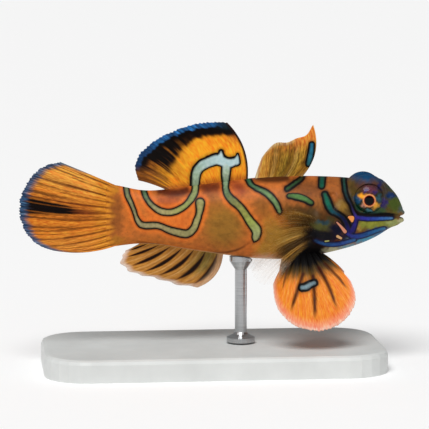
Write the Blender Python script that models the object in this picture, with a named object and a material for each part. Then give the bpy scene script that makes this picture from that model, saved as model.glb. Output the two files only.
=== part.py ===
"""Mandarinfish (Synchiropus splendidus), a life-size still model on a display stand.

The fish faces +X and stands upright, +Z up. Sizes are in millimetres and become metres
when a mesh is made. Heights of the fish are measured from its long axis, which lies
AXIS_HEIGHT above the floor. The origin is on the floor, under the middle of the model.
"""

import math

import bmesh
import bpy
import numpy as np

MM = 0.001

# Driving sizes, in millimetres
AXIS_HEIGHT = 28.0
GAP = 0.3  # between neighbouring nodes
TRUNK_FROM, TRUNK_TO = -14.0, 20.4  # where thin cuts part the tail and the head from the trunk

# Body stations: x, back, belly, half width, height of the widest point
STATIONS = (
    (34.9, 0.7, -1.8, 1.0, -0.8),
    (34.3, 2.1, -2.4, 1.9, -0.9),
    (32.9, 4.05, -2.95, 2.8, -1.1),
    (31.0, 5.85, -4.0, 3.7, -1.4),
    (28.4, 5.9, -5.3, 4.6, -2.2),
    (25.5, 6.1, -6.3, 5.4, -2.6),
    (22.0, 6.4, -7.2, 5.9, -2.4),
    (16.0, 6.6, -8.3, 5.8, -1.8),
    (8.7, 6.4, -8.4, 5.2, -1.4),
    (1.4, 5.7, -7.5, 4.4, -1.1),
    (-5.9, 4.8, -6.3, 3.4, -0.8),
    (-13.2, 4.4, -5.4, 2.3, -0.5),
    (-17.2, 5.3, -5.8, 1.2, -0.4),
    (-18.6, 5.6, -6.0, 0.6, -0.4),
)
ROUND_BACK, ROUND_BELLY = 1.95, 2.25  # superellipse powers of the section's two halves
SECTION_MIDDLE = 0.3  # a section's middle, from its widest point up to the back
RING_POINTS = 34
HEAD_STEP, BODY_STEP = 0.6, 1.4  # spacing of the rings
HEAD_RINGS_TO = 18.4
CAP_RISE = 0.15  # the closed ends bulge by this much

# Each eye stands in a domed orbit, high on the head
ORBIT_AT, ORBIT_RADII = (28.0, 2.5, 3.25), (3.5, 2.7, 3.8)
ORBIT_BLEND = 0.9
EYE_AT, EYE_RADII = (28.0, 3.4, 2.85), (2.9, 2.2, 2.9)

# Places on the flank are (x, z)
GILL_COVER_AT, GILL_COVER_RADII, GILL_COVER_RISE = (24.8, -1.6), (4.0, 4.9), 0.4
GILL_EDGE, GILL_FADE = 0.14, 1.6  # how sharply the cover's rear edge stands out, and fades forward
PECTORAL_LOBE_AT, PECTORAL_LOBE_RADII, PECTORAL_LOBE_RISE = (18.5, -2.2), (1.3, 2.9), 0.55
LOBE_REACH, LOBE_EDGE = 1.25, 0.8
GILL_PORE_AT, GILL_PORE_RADII = (21.4, 3.7), (0.7, 0.45, 0.5)

# A nostril is a short open tube that leans ahead, out and up
NOSTRIL_AT, NOSTRIL_RADIUS, NOSTRIL_BORE = (32.6, 2.6), 0.34, 0.17
NOSTRIL_FOOT, NOSTRIL_TIP = (-0.1, -0.4, -0.1), (0.25, 0.35, 0.35)  # from its place on the flank

# The mouth is a wedge open at the snout, between two lips
MOUTH_CORNER, MOUTH_GAPE, MOUTH_TIP, MOUTH_HALF_WIDTH = (33.3, -0.95), 1.05, 36.0, 4.0
UPPER_LIP_RISE, UPPER_LIP_RADIUS = 0.62, 0.38
LOWER_LIP_RISE, LOWER_LIP_RADIUS = -0.75, 0.38
LIP_INSET = 0.22

# Fins. root and margin are curves (x, y, z) from the first ray to the last one.
# bow bends the first and the last ray, as a share of a ray's length.
# sway is how far the margin waves to the side, with the number of waves and their start.
MEMBRANE_HALF, RAY_HALF, TIP_HALF = 0.25, 0.42, 0.1
FINS = {
    "first_dorsal_fin": {
        "root": ((16.4, 0, 6.5), (7.8, 0, 6.3)),
        "margin": ((18.4, 0, 15.9), (16.0, 0, 13.7), (13.1, 0, 13.0), (10.8, 0, 12.3), (9.0, 0, 10.0)),
        "rays": 4, "branch_at": None, "notch": 0.07, "bow": (0.3, -0.04), "sway": (0.25, 0.7, 0.1),
        "colour": (0.78, 0.47, 0.12),
    },
    "second_dorsal_fin": {
        "root": ((6.4, 0, 6.2), (-8.8, 0, 4.5)),
        "margin": ((2.5, 0, 16.6), (-2.3, 0, 16.5), (-7.8, 0, 14.9), (-12.1, 0, 12.4), (-14.2, 0, 8.6),
                   (-13.5, 0, 6.1)),
        "rays": 8, "branch_at": 0.6, "notch": 0.05, "bow": (0.24, 0.06), "sway": (0.6, 1.1, 0.0),
        "colour": (0.85, 0.5, 0.1),
    },
    "caudal_fin": {
        "root": ((-17.6, 0, 5.25), (-17.9, 0, -0.4), (-17.6, 0, -5.7)),
        "margin": ((-27.7, 0, 9.6), (-30.8, 0, 8.7), (-33.1, 0, 6.7), (-34.7, 0, 3.9), (-35.15, 0, 0.6),
                   (-34.4, 0, -2.4), (-32.3, 0, -5.0), (-29.6, 0, -6.2), (-26.6, 0, -6.6)),
        "rays": 10, "branch_at": 0.5, "notch": 0.03, "bow": (0.01, -0.13), "sway": (0.9, 0.6, 0.15),
        "colour": (0.88, 0.52, 0.13),
    },
    "anal_fin": {
        "root": ((1.9, 0, -7.5), (-5.9, 0, -6.2), (-13.0, 0, -5.3)),
        "margin": ((-2.7, 0, -13.7), (-6.3, 0, -13.2), (-11.4, 0, -11.6), (-15.8, 0, -10.1),
                   (-16.9, 0, -8.7), (-15.9, 0, -6.8)),
        "rays": 8, "branch_at": None, "notch": 0.09, "bow": (0.32, 0.0), "sway": (0.5, 0.9, 0.2),
        "colour": (0.8, 0.5, 0.22),
    },
    "pelvic_fin": {
        "root": ((19.0, 3.1, -7.2), (16.6, 3.6, -7.3), (13.9, 3.4, -7.4)),
        "margin": ((24.5, 6.4, -12.0), (25.2, 7.8, -15.0), (23.0, 9.2, -18.6), (18.6, 9.9, -20.4),
                   (13.4, 9.5, -19.2), (10.6, 8.2, -15.8), (10.2, 7.0, -12.4)),
        "rays": 6, "branch_at": 0.55, "notch": 0.03, "bow": (0.1, -0.1), "sway": (0.5, 0.5, 0.0),
        "colour": (0.9, 0.47, 0.16),
    },
    "pectoral_fin": {
        "root": ((17.5, 5.9, 0.0), (17.6, 6.1, -2.3), (18.0, 5.7, -4.7)),
        "margin": ((11.8, 7.6, 1.6), (8.7, 8.5, -0.6), (6.7, 9.1, -4.2), (5.9, 9.3, -8.0),
                   (7.2, 9.0, -11.5), (10.8, 8.0, -12.1)),
        "rays": 8, "branch_at": None, "notch": 0.03, "bow": (0.1, 0.14), "sway": (0.3, 1.0, 0.0),
        "colour": (0.8, 0.62, 0.36),
    },
}
LEFT_PELVIC_SWING, LEFT_PELVIC_FOLD = 0.75, 0.84  # the left pelvic fin is held further forward, and less open
FIN_ROWS = 8
ROOT_SUNK = 1.6  # how deep a fin's root reaches into the body before it is cut to the body's surface
RAY_SPREAD, BRANCH_SPREAD = 0.14, 0.11  # a ray's half width, and how far its branches part, in ray spacings
BRANCH_RUN = 0.22  # share of the fin's length over which a ray divides
RAY_TAPER, TIP_NOTCH = 0.35, 0.45

BASE_LENGTH, BASE_WIDTH, BASE_HEIGHT, BASE_CORNER, BASE_EDGE = 62.0, 32.0, 4.0, 8.0, 0.8
ROD_AT, ROD_RADIUS = 5.2, 1.1
COLLAR_RADIUS, COLLAR_HEIGHT, COLLAR_EDGE = 2.6, 1.4, 0.4
SADDLE_RADIUS, SADDLE_DEPTH, SADDLE_RISE = 2.1, 1.9, 1.5


def clear_scene():
    for obj in list(bpy.data.objects):
        bpy.data.objects.remove(obj)


def material(name, colour, roughness=0.35, metallic=0.0):
    made = bpy.data.materials.new(name)
    made.use_nodes = True
    shader = made.node_tree.nodes["Principled BSDF"]
    shader.inputs["Base Color"].default_value = (*colour, 1)
    shader.inputs["Roughness"].default_value = roughness
    shader.inputs["Metallic"].default_value = metallic
    return made


def mesh_object(name, points, faces, finish):
    """A closed mesh from points in the fish's millimetres, measured from its axis."""
    world = np.asarray(points, float) + (0, 0, AXIS_HEIGHT)
    mesh = bpy.data.meshes.new(name)
    mesh.from_pydata((world * MM).tolist(), [], faces)
    form = bmesh.new()
    form.from_mesh(mesh)
    bmesh.ops.recalc_face_normals(form, faces=form.faces)
    form.to_mesh(mesh)
    form.free()
    mesh.materials.append(finish)
    obj = bpy.data.objects.new(name, mesh)
    bpy.context.collection.objects.link(obj)
    return obj


def natural_spline(knots, values, at):
    """Cubic spline through values at knots, with no bend at its ends."""
    knots, values, at = np.asarray(knots, float), np.asarray(values, float), np.atleast_1d(at)
    spans = np.diff(knots)
    slopes = np.diff(values, axis=0) / spans[:, None]
    system, right = np.eye(len(knots)), np.zeros(values.shape)
    for i in range(1, len(knots) - 1):
        system[i, i - 1:i + 2] = spans[i - 1], 2 * (spans[i - 1] + spans[i]), spans[i]
        right[i] = 6 * (slopes[i] - slopes[i - 1])
    bends = np.linalg.solve(system, right)
    i = np.clip(np.searchsorted(knots, at) - 1, 0, len(knots) - 2)
    span = spans[i][:, None]
    left = (knots[i + 1] - at)[:, None] / span
    rest = 1 - left
    return (left * values[i] + rest * values[i + 1]
            + ((left**3 - left) * bends[i] + (rest**3 - rest) * bends[i + 1]) * span**2 / 6)


class Curve:
    """A smooth curve through points, measured in shares of its length."""

    def __init__(self, points):
        points = np.asarray(points, float)
        steps = np.concatenate([[0], np.cumsum(np.linalg.norm(np.diff(points, axis=0), axis=1))])
        self.fine = natural_spline(steps / steps[-1], points, np.linspace(0, 1, 201))
        self.run = np.concatenate([[0], np.cumsum(np.linalg.norm(np.diff(self.fine, axis=0), axis=1))])

    def at(self, share):
        run = np.clip(share, 0, 1) * self.run[-1]
        return np.stack([np.interp(run, self.run, self.fine[:, k]) for k in range(3)], axis=-1)


def smooth_step(value):
    value = np.clip(value, 0, 1)
    return value * value * (3 - 2 * value)


def station(x):
    """Back, belly, half width and widest height at x."""
    table = np.array(STATIONS)[::-1]
    return natural_spline(table[:, 0], table[:, 1:], x)[0]


def raised(x, z):
    """How far the gill cover and the fleshy base of the pectoral fin stand out of the flank."""
    behind = (GILL_COVER_AT[0] - x) / GILL_COVER_RADII[0]
    reach = math.hypot(behind, (z - GILL_COVER_AT[1]) / GILL_COVER_RADII[1])
    cover = GILL_COVER_RISE * smooth_step((1.0 - reach) / GILL_EDGE) * smooth_step(behind * GILL_FADE)
    near = math.hypot((x - PECTORAL_LOBE_AT[0]) / PECTORAL_LOBE_RADII[0],
                      (z - PECTORAL_LOBE_AT[1]) / PECTORAL_LOBE_RADII[1])
    lobe = PECTORAL_LOBE_RISE * smooth_step((LOBE_REACH - near) / LOBE_EDGE)
    return max(cover, lobe)


def orbit_reach(x, start, direction):
    """Distance from start, in the section at x, along direction to the far side of an orbit's dome."""
    inside = 1 - ((x - ORBIT_AT[0]) / ORBIT_RADII[0]) ** 2
    if inside <= 0:
        return 0.0
    radii = np.array(ORBIT_RADII[1:]) * math.sqrt(inside)
    from_centre = (start - np.array(ORBIT_AT[1:])) / radii
    along = direction / radii
    a, b, c = along @ along, 2 * from_centre @ along, from_centre @ from_centre - 1
    root = b * b - 4 * a * c
    return (-b + math.sqrt(root)) / (2 * a) if root > 0 else 0.0


def section(x, count=RING_POINTS):
    """The closed outline (y, z) of the fish at x, from the back down the left side and up the right."""
    back, belly, half_width, widest = station(x)
    centre = np.array([0, widest + SECTION_MIDDLE * (back - widest)])
    ring = []
    for turn in np.linspace(0, 2 * math.pi, count, endpoint=False):
        power = 2 / (ROUND_BACK if math.cos(turn) >= 0 else ROUND_BELLY)
        height = (back - widest) if math.cos(turn) >= 0 else (widest - belly)
        y = half_width * abs(math.sin(turn)) ** power
        z = widest + height * math.copysign(abs(math.cos(turn)) ** power, math.cos(turn))
        out = np.array([y, z]) - centre
        reach = np.linalg.norm(out)
        dome = orbit_reach(x, centre, out / reach)
        near = max(ORBIT_BLEND - abs(dome - reach), 0) / ORBIT_BLEND
        full = max(dome, reach) + near * near * ORBIT_BLEND / 4
        full += raised(x, z) * min(1.0, y / 2)
        point = centre + out / reach * full
        ring.append((math.copysign(point[0], math.sin(turn)) if point[0] > 1e-9 else 0.0, point[1]))
    return ring


def ring_faces(rings, around):
    """Faces that join closed rings of points, one ring after another."""
    faces = []
    for ring in range(rings - 1):
        for i in range(around):
            here, there = ring * around + i, ring * around + (i + 1) % around
            faces.append([here, there, there + around, here + around])
    return faces


def end_faces(count, around):
    """Flat faces over the first and the last ring of count points."""
    return [list(range(around)), list(range(count - around, count))]


def make_body(skin):
    """The whole body as one loft of sections, closed at the snout and at the tail."""
    front, rear = STATIONS[0][0], STATIONS[-1][0]
    places = [*np.arange(front, HEAD_RINGS_TO, -HEAD_STEP), *np.arange(HEAD_RINGS_TO, rear, -BODY_STEP), rear]
    points = [(x, y, z) for x in places for y, z in section(x)]
    faces = ring_faces(len(places), RING_POINTS)
    for ring, tip in ((0, front + CAP_RISE), (len(places) - 1, rear - CAP_RISE)):
        rim = range(ring * RING_POINTS, (ring + 1) * RING_POINTS)
        middle = np.mean([points[i] for i in rim], axis=0)
        points.append((tip, 0, middle[2]))
        faces += [[a, b, len(points) - 1] for a, b in zip(rim, [*rim[1:], rim[0]])]
    return mesh_object("body", points, faces, skin)


def inflated(obj, by):
    """A helper copy with its surface moved out along the normals."""
    copy = obj.copy()
    copy.data = obj.data.copy()
    bpy.context.collection.objects.link(copy)
    normals = [v.normal.copy() for v in copy.data.vertices]
    for vertex, normal in zip(copy.data.vertices, normals):
        vertex.co += normal * by * MM
    return copy


def slice_between(obj, name, low, high):
    """The stretch of obj from low to high along X, with flat closed ends."""
    part = obj.copy()
    part.data = obj.data.copy()
    part.name = part.data.name = name
    bpy.context.collection.objects.link(part)
    form = bmesh.new()
    form.from_mesh(part.data)
    for x, normal in ((low, (-1, 0, 0)), (high, (1, 0, 0))):
        if x is None:
            continue
        everything = form.verts[:] + form.edges[:] + form.faces[:]
        place = (x * MM, 0, 0)
        bmesh.ops.bisect_plane(form, geom=everything, plane_co=place, plane_no=normal, clear_outer=True)
        bmesh.ops.holes_fill(form, edges=[e for e in form.edges if e.is_boundary])
    bmesh.ops.recalc_face_normals(form, faces=form.faces)
    form.to_mesh(part.data)
    form.free()
    return part


def freeze(obj):
    """Applies the object's modifiers to its mesh."""
    bpy.context.view_layer.update()
    shown = obj.evaluated_get(bpy.context.evaluated_depsgraph_get())
    mesh = bpy.data.meshes.new_from_object(shown)
    obj.modifiers.clear()
    obj.data = mesh


def boolean(obj, others, operation):
    """Cuts others from obj or joins them to it, all in one Boolean, and removes them."""
    group = bpy.data.collections.new("operands")
    for other in others:
        group.objects.link(other)
    step = obj.modifiers.new(operation, "BOOLEAN")
    step.operation, step.operand_type, step.collection, step.solver = operation, "COLLECTION", group, "EXACT"
    freeze(obj)
    for other in others:
        bpy.data.objects.remove(other)
    bpy.data.collections.remove(group)


def keep_largest(obj):
    """Drops every closed surface of the mesh but the largest one."""
    form = bmesh.new()
    form.from_mesh(obj.data)
    bmesh.ops.remove_doubles(form, verts=form.verts, dist=1e-7)
    left, shells = set(form.verts), []
    while left:
        shell, front = set(), [left.pop()]
        while front:
            vertex = front.pop()
            shell.add(vertex)
            linked = {e.other_vert(vertex) for e in vertex.link_edges} & left
            left -= linked
            front += linked
        shells.append(shell)
    shells.sort(key=len)
    for shell in shells[:-1]:
        bmesh.ops.delete(form, geom=list(shell), context="VERTS")
    bmesh.ops.recalc_face_normals(form, faces=form.faces)
    form.to_mesh(obj.data)
    form.free()


def ellipsoid(name, centre, radii, finish, across=20):
    form = bmesh.new()
    bmesh.ops.create_uvsphere(form, u_segments=across, v_segments=across // 2, radius=1)
    points = [tuple(np.array(v.co) * radii + centre) for v in form.verts]
    faces = [[v.index for v in face.verts] for face in form.faces]
    form.free()
    return mesh_object(name, points, faces, finish)


def tube(name, path, radius, finish, sides=8):
    """A closed tube of one radius along path, with flat ends."""
    path = np.asarray(path, float)
    points = []
    for at, along in zip(path, np.gradient(path, axis=0)):
        along = along / np.linalg.norm(along)
        side = np.cross(along, (0.1, 0.05, 1.0))
        side /= np.linalg.norm(side)
        up = np.cross(side, along)
        for turn in np.linspace(0, 2 * math.pi, sides, endpoint=False):
            points.append(at + radius * (math.cos(turn) * side + math.sin(turn) * up))
    return mesh_object(name, points, ring_faces(len(path), sides) + end_faces(len(points), sides), finish)


def flank_half_width(x, z):
    """Half width of the fish at x and height z."""
    ring = np.array([p for p in section(x, 120) if p[0] >= 0])
    order = np.argsort(ring[:, 1])
    return float(np.interp(z, ring[order, 1], ring[order, 0]))


def make_lip(name, rise, radius, skin):
    """A lip round the snout, from one corner of the mouth to the other."""
    z = MOUTH_CORNER[1] + rise
    ends = MOUTH_CORNER[0] + 0.1, STATIONS[0][0] - 0.1
    half = [(x, flank_half_width(x, z) - LIP_INSET, z) for x in np.linspace(*ends, 6)]
    return tube(name, [*half, *[(x, -y, z) for x, y, z in half[::-1]]], radius, skin)


def make_nostril(side, skin):
    """A nostril's tube and the bore that is cut from it."""
    x, z = NOSTRIL_AT
    place = np.array([x, flank_half_width(x, z), z])
    foot, tip = (place + NOSTRIL_FOOT) * (1, side, 1), (place + NOSTRIL_TIP) * (1, side, 1)
    run = tip - foot
    bore = tube(f"nostril_bore_{side}", [foot + run * 0.55, tip + run * 0.5], NOSTRIL_BORE, skin, sides=6)
    return tube(f"nostril_{side}", [foot, tip], NOSTRIL_RADIUS, skin), bore


def make_head(body, skin):
    """The head with its orbits, lips, mouth, nostrils and gill pores."""
    head = slice_between(body, "head", TRUNK_TO + GAP / 2, None)
    raised_parts = [make_lip("upper_lip", UPPER_LIP_RISE, UPPER_LIP_RADIUS, skin),
                    make_lip("lower_lip", LOWER_LIP_RISE, LOWER_LIP_RADIUS, skin)]
    cuts = []
    for side in (-1, 1):
        nostril, bore = make_nostril(side, skin)
        raised_parts.append(nostril)
        cuts.append(bore)
        x, z = GILL_PORE_AT
        at = (x, side * (flank_half_width(x, z) + 0.1), z)
        cuts.append(ellipsoid(f"pore_{side}", at, GILL_PORE_RADII, skin, 12))
        at = np.multiply(EYE_AT, (1, side, 1))
        cuts.append(ellipsoid(f"socket_{side}", at, np.add(EYE_RADII, GAP), skin))
    boolean(head, raised_parts, "UNION")
    corner_x, corner_z = MOUTH_CORNER
    wide = (-MOUTH_HALF_WIDTH, MOUTH_HALF_WIDTH)
    wedge = [(corner_x, y, corner_z) for y in wide]
    wedge += [(MOUTH_TIP, y, corner_z + rise) for rise in (MOUTH_GAPE / 2, -MOUTH_GAPE / 2) for y in wide]
    wedge_faces = [[0, 1, 3, 2], [2, 3, 5, 4], [4, 5, 1, 0], [0, 2, 4], [1, 5, 3]]
    cuts.append(mesh_object("mouth", wedge, wedge_faces, skin))
    boolean(head, cuts, "DIFFERENCE")
    keep_largest(head)
    return head


def fin_columns(rays):
    """The fin's columns as (ray, kind), each ray with a shoulder or branch before and after it."""
    columns = []
    for ray in range(rays):
        columns += [(ray, "before"), (ray, "ray"), (ray, "after"), (ray, "valley")]
    return columns[1:-2]


def fin_surface(spec, share, length):
    """Points of a fin's middle surface at shares of the way from the first ray to the last one.

    length runs from 0 at the root to 1 at the tips, and below 0 inside the body.
    """
    root_curve, tip_curve = Curve(spec["root"]), Curve(spec["margin"])
    root, tip = root_curve.at(share), tip_curve.at(share)
    chord = tip - root
    span = np.linalg.norm(chord, axis=-1, keepdims=True)
    ahead = root_curve.fine[0] - root_curve.fine[-1]
    ahead = ahead - chord * (chord @ ahead)[..., None] / span**2
    ahead *= span / np.linalg.norm(ahead, axis=-1, keepdims=True)
    bow = spec["bow"][0] * (1 - share) + spec["bow"][1] * share
    bend = root + chord / 2 + ahead * bow[..., None]
    reach = np.maximum(length, 0)[..., None]
    points = root * (1 - reach) ** 2 + 2 * bend * reach * (1 - reach) + tip * reach**2
    into = (bend - root) / np.linalg.norm(bend - root, axis=-1, keepdims=True)
    points += into * np.minimum(length, 0)[..., None] * ROOT_SUNK
    far, waves, start = spec["sway"]
    points[..., 1] += far * reach[..., 0] ** 1.5 * np.sin(2 * math.pi * (share * waves + start))
    return points


def fin_mesh(spec, side=1, rows=FIN_ROWS):
    """Points and faces of a fin: a membrane with its rays raised on both faces."""
    rays, branch_at, notch = spec["rays"], spec["branch_at"], spec["notch"]
    columns = fin_columns(rays)
    levels = np.concatenate([[-1.0], np.linspace(0, 1, rows)])
    share, length = np.zeros((len(levels), len(columns))), np.zeros((len(levels), len(columns)))
    half = np.full(share.shape, MEMBRANE_HALF)
    for row, level in enumerate(levels):
        split = float(smooth_step((level - branch_at) / BRANCH_RUN)) if branch_at else 0.0
        ridge = (RAY_HALF - MEMBRANE_HALF) * (1 - RAY_TAPER * max(level, 0))
        for column, (ray, kind) in enumerate(columns):
            spread = RAY_SPREAD + BRANCH_SPREAD * split
            offset = {"before": -spread, "ray": 0, "after": spread, "valley": 0.5}[kind]
            high = {"ray": 1 - split, "before": split, "after": split, "valley": 0}[kind]
            short = notch * (1.0 if kind == "valley" else TIP_NOTCH * (1 - high))
            share[row, column] = (ray + offset) / (rays - 1)
            length[row, column] = level * (1 - short) if level > 0 else level
            half[row, column] += ridge * high
    half[-1] = TIP_HALF
    middle = fin_surface(spec, share, length)
    small = 0.01
    out = np.clip(length, 0.05, 1 - small)
    along = fin_surface(spec, share, out + small) - fin_surface(spec, share, out)
    ahead = np.minimum(share, 1 - small)
    across = fin_surface(spec, ahead + small, length) - fin_surface(spec, ahead, length)
    for points in (middle, along, across):
        points[..., 1] *= side
    normal = np.cross(along, across)
    normal /= np.linalg.norm(normal, axis=2, keepdims=True)
    return closed_sheet([middle + normal * half[:, :, None], middle - normal * half[:, :, None]])


def closed_sheet(sides):
    """A closed mesh between two grids of points, split into triangles alike on both faces."""
    rows, columns = sides[0].shape[:2]
    points = np.concatenate([s.reshape(-1, 3) for s in sides])

    def at(face, row, column):
        return face * rows * columns + row * columns + column

    faces = []
    for r in range(rows - 1):
        for c in range(columns - 1):
            for f in (0, 1):
                a, b, d, e = at(f, r, c), at(f, r, c + 1), at(f, r + 1, c + 1), at(f, r + 1, c)
                faces += [[a, b, d], [a, d, e]]
    rim = [(0, c) for c in range(columns)] + [(r, columns - 1) for r in range(1, rows)]
    rim += [(rows - 1, c) for c in range(columns - 2, -1, -1)] + [(r, 0) for r in range(rows - 2, 0, -1)]
    for here, there in zip(rim, [*rim[1:], rim[0]]):
        faces.append([at(0, *here), at(0, *there), at(1, *there), at(1, *here)])
    return points, faces


def swung(spec, ahead, open_share):
    """The fin with its margin moved ahead and drawn in towards its first ray."""
    margin = np.array(spec["margin"], float)
    margin[:, 0] = margin[0, 0] + (margin[:, 0] - margin[0, 0]) * open_share + ahead
    return {**spec, "margin": margin}


def make_fin(name, spec, body, side=1):
    """A fin whose root follows the body's surface at the gap."""
    finish = material(name, spec["colour"], 0.4)
    fin = mesh_object(name, *fin_mesh(spec, side), finish)
    boolean(fin, [inflated(body, GAP)], "DIFFERENCE")
    keep_largest(fin)
    return fin


def make_base(finish):
    """The flat base: a plate with round corners and a softened top edge."""
    form = bmesh.new()
    bmesh.ops.create_cube(form, size=1)
    for vertex in form.verts:
        vertex.co.x *= BASE_LENGTH * MM
        vertex.co.y *= BASE_WIDTH * MM
        vertex.co.z = (vertex.co.z + 0.5) * BASE_HEIGHT * MM
    upright = [e for e in form.edges if abs(e.verts[0].co.z - e.verts[1].co.z) > MM]
    bmesh.ops.bevel(form, geom=upright, offset=BASE_CORNER * MM, segments=6, profile=0.5, affect="EDGES")
    top = [e for e in form.edges if min(v.co.z for v in e.verts) > (BASE_HEIGHT - 0.01) * MM]
    bmesh.ops.bevel(form, geom=top, offset=BASE_EDGE * MM, segments=2, profile=0.5, affect="EDGES")
    mesh = bpy.data.meshes.new("stand_base")
    form.to_mesh(mesh)
    form.free()
    mesh.materials.append(finish)
    base = bpy.data.objects.new("stand_base", mesh)
    bpy.context.collection.objects.link(base)
    return base


def make_rod(body, finish):
    """The rod with its collar on the base and a saddle shaped to the belly, turned as one piece."""
    floor = -AXIS_HEIGHT
    foot = floor + BASE_HEIGHT + GAP
    belly = station(ROD_AT)[1]
    profile = (
        (COLLAR_RADIUS, foot), (COLLAR_RADIUS, foot + COLLAR_HEIGHT * 0.6),
        (ROD_RADIUS * 1.3, foot + COLLAR_HEIGHT), (ROD_RADIUS, foot + COLLAR_HEIGHT + COLLAR_EDGE),
        (ROD_RADIUS, belly - SADDLE_DEPTH - COLLAR_EDGE), (SADDLE_RADIUS, belly - SADDLE_DEPTH * 0.4),
        (SADDLE_RADIUS, belly + SADDLE_RISE),
    )
    around = 20
    points = []
    for radius, z in profile:
        for turn in np.linspace(0, 2 * math.pi, around, endpoint=False):
            points.append((ROD_AT + radius * math.cos(turn), radius * math.sin(turn), z))
    faces = ring_faces(len(profile), around) + end_faces(len(points), around)
    rod = mesh_object("stand_rod", points, faces, finish)
    boolean(rod, [inflated(body, GAP)], "DIFFERENCE")
    keep_largest(rod)
    return rod


def main():
    clear_scene()
    skin = material("skin", (0.78, 0.4, 0.11), 0.35)
    iris = material("eye", (0.12, 0.16, 0.14), 0.1)
    plate = material("stand_plate", (0.75, 0.75, 0.74), 0.4)
    steel = material("stand_steel", (0.6, 0.6, 0.62), 0.3, 1.0)
    body = make_body(skin)
    make_head(body, skin)
    slice_between(body, "trunk", TRUNK_FROM + GAP / 2, TRUNK_TO - GAP / 2)
    slice_between(body, "tail_peduncle", None, TRUNK_FROM - GAP / 2)
    for side, word in ((-1, "right"), (1, "left")):
        ellipsoid(f"eye_{word}", np.multiply(EYE_AT, (1, side, 1)), EYE_RADII, iris, 18)
        make_fin(f"pectoral_fin_{word}", FINS["pectoral_fin"], body, side)
    make_fin("pelvic_fin_right", FINS["pelvic_fin"], body, -1)
    make_fin("pelvic_fin_left", swung(FINS["pelvic_fin"], LEFT_PELVIC_SWING, LEFT_PELVIC_FOLD), body)
    for name in ("first_dorsal_fin", "second_dorsal_fin", "caudal_fin", "anal_fin"):
        make_fin(name, FINS[name], body)
    make_base(plate)
    make_rod(body, steel)
    bpy.data.objects.remove(body)
    for obj in bpy.data.objects:
        obj.data.shade_smooth()
        obj.data.set_sharp_from_angle(angle=math.radians(40))


main()
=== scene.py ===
import math

import bmesh
import bpy
import numpy as np
from mathutils import Matrix, Vector


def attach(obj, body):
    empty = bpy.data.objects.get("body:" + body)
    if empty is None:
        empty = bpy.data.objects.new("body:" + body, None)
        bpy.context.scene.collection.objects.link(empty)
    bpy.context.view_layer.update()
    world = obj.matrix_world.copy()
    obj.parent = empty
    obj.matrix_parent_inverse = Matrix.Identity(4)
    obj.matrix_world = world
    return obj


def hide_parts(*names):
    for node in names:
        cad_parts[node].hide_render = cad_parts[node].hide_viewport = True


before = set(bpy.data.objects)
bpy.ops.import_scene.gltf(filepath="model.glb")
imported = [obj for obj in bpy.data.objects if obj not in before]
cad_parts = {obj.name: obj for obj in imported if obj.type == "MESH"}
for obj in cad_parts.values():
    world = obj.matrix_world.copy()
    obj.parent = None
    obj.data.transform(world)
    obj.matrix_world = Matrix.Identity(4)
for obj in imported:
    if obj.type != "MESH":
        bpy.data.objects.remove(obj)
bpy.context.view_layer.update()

# Lengths are in millimetres, from the fish's long axis, and become metres when a mesh is made.
# +X is the snout, +Y the left flank. The photographed flank is the right one, -Y.
mm = 0.001
axisHeight = 28.0

# The photograph's view: a place in its frame of 429 pixels, and what a pixel is on the fish
photo = {
    "size": 429,
    "centre": (212.5, 213.0),  # where the fish's axis crosses x = 0
    "tailEnd": 25,
    "pixel": 70 / 385.5,  # mm
    "azimuth": -6.0,
    "elevation": 7.0,
    "distance": 450.0,
}
azimuth, elevation = math.radians(photo["azimuth"]), math.radians(photo["elevation"])
viewRight = np.array([math.cos(azimuth), math.sin(azimuth), 0.0])
viewAhead = np.array([-math.sin(azimuth) * math.cos(elevation), math.cos(azimuth) * math.cos(elevation),
                      -math.sin(elevation)])
viewUp = np.cross(viewRight, viewAhead)


# Where each point of the fish is on the photographed flank. The left flank takes its mirror image.
def photoPlace(points):
    near = np.array(points, float)
    near[:, 1] = -np.abs(near[:, 1])
    pixel = photo["pixel"] * (1 + near @ viewAhead / photo["distance"])
    across = photo["centre"][0] + near @ viewRight / pixel
    down = photo["centre"][1] - near @ viewUp / pixel
    return np.stack([across, down], axis=1)


def fromHex(code):
    channels = np.array([int(code[i:i + 2], 16) for i in (1, 3, 5)]) / 255
    return np.where(channels <= 0.04045, channels / 12.92, ((channels + 0.055) / 1.055) ** 2.4)


def smoothStep(value):
    value = np.clip(value, 0, 1)
    return value * value * (3 - 2 * value)


# 0 before the start and 1 past the end, also where the end is the lower one
def ease(value, start, end):
    return smoothStep((value - start) / (end - start))


def bell(value, middle, width):
    return np.exp(-((value - middle) / width) ** 2)


def naturalSpline(knots, values, at):
    knots, values, at = np.asarray(knots, float), np.asarray(values, float), np.atleast_1d(at)
    spans = np.diff(knots)
    slopes = np.diff(values, axis=0) / spans[:, None]
    system, right = np.eye(len(knots)), np.zeros(values.shape)
    for i in range(1, len(knots) - 1):
        system[i, i - 1:i + 2] = spans[i - 1], 2 * (spans[i - 1] + spans[i]), spans[i]
        right[i] = 6 * (slopes[i] - slopes[i - 1])
    bends = np.linalg.solve(system, right)
    i = np.clip(np.searchsorted(knots, at) - 1, 0, len(knots) - 2)
    span = spans[i][:, None]
    left = (knots[i + 1] - at)[:, None] / span
    rest = 1 - left
    return (left * values[i] + rest * values[i + 1]
            + ((left**3 - left) * bends[i] + (rest**3 - rest) * bends[i + 1]) * span**2 / 6)


def smoothCurve(points, count):
    points = np.asarray(points, float)
    steps = np.concatenate([[0], np.cumsum(np.linalg.norm(np.diff(points, axis=0), axis=1))])
    fine = naturalSpline(steps / steps[-1], points, np.linspace(0, 1, count * 4))
    run = np.concatenate([[0], np.cumsum(np.linalg.norm(np.diff(fine, axis=0), axis=1))])
    even = np.linspace(0, run[-1], count)
    return np.stack([np.interp(even, run, fine[:, k]) for k in range(fine.shape[1])], axis=-1)


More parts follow.
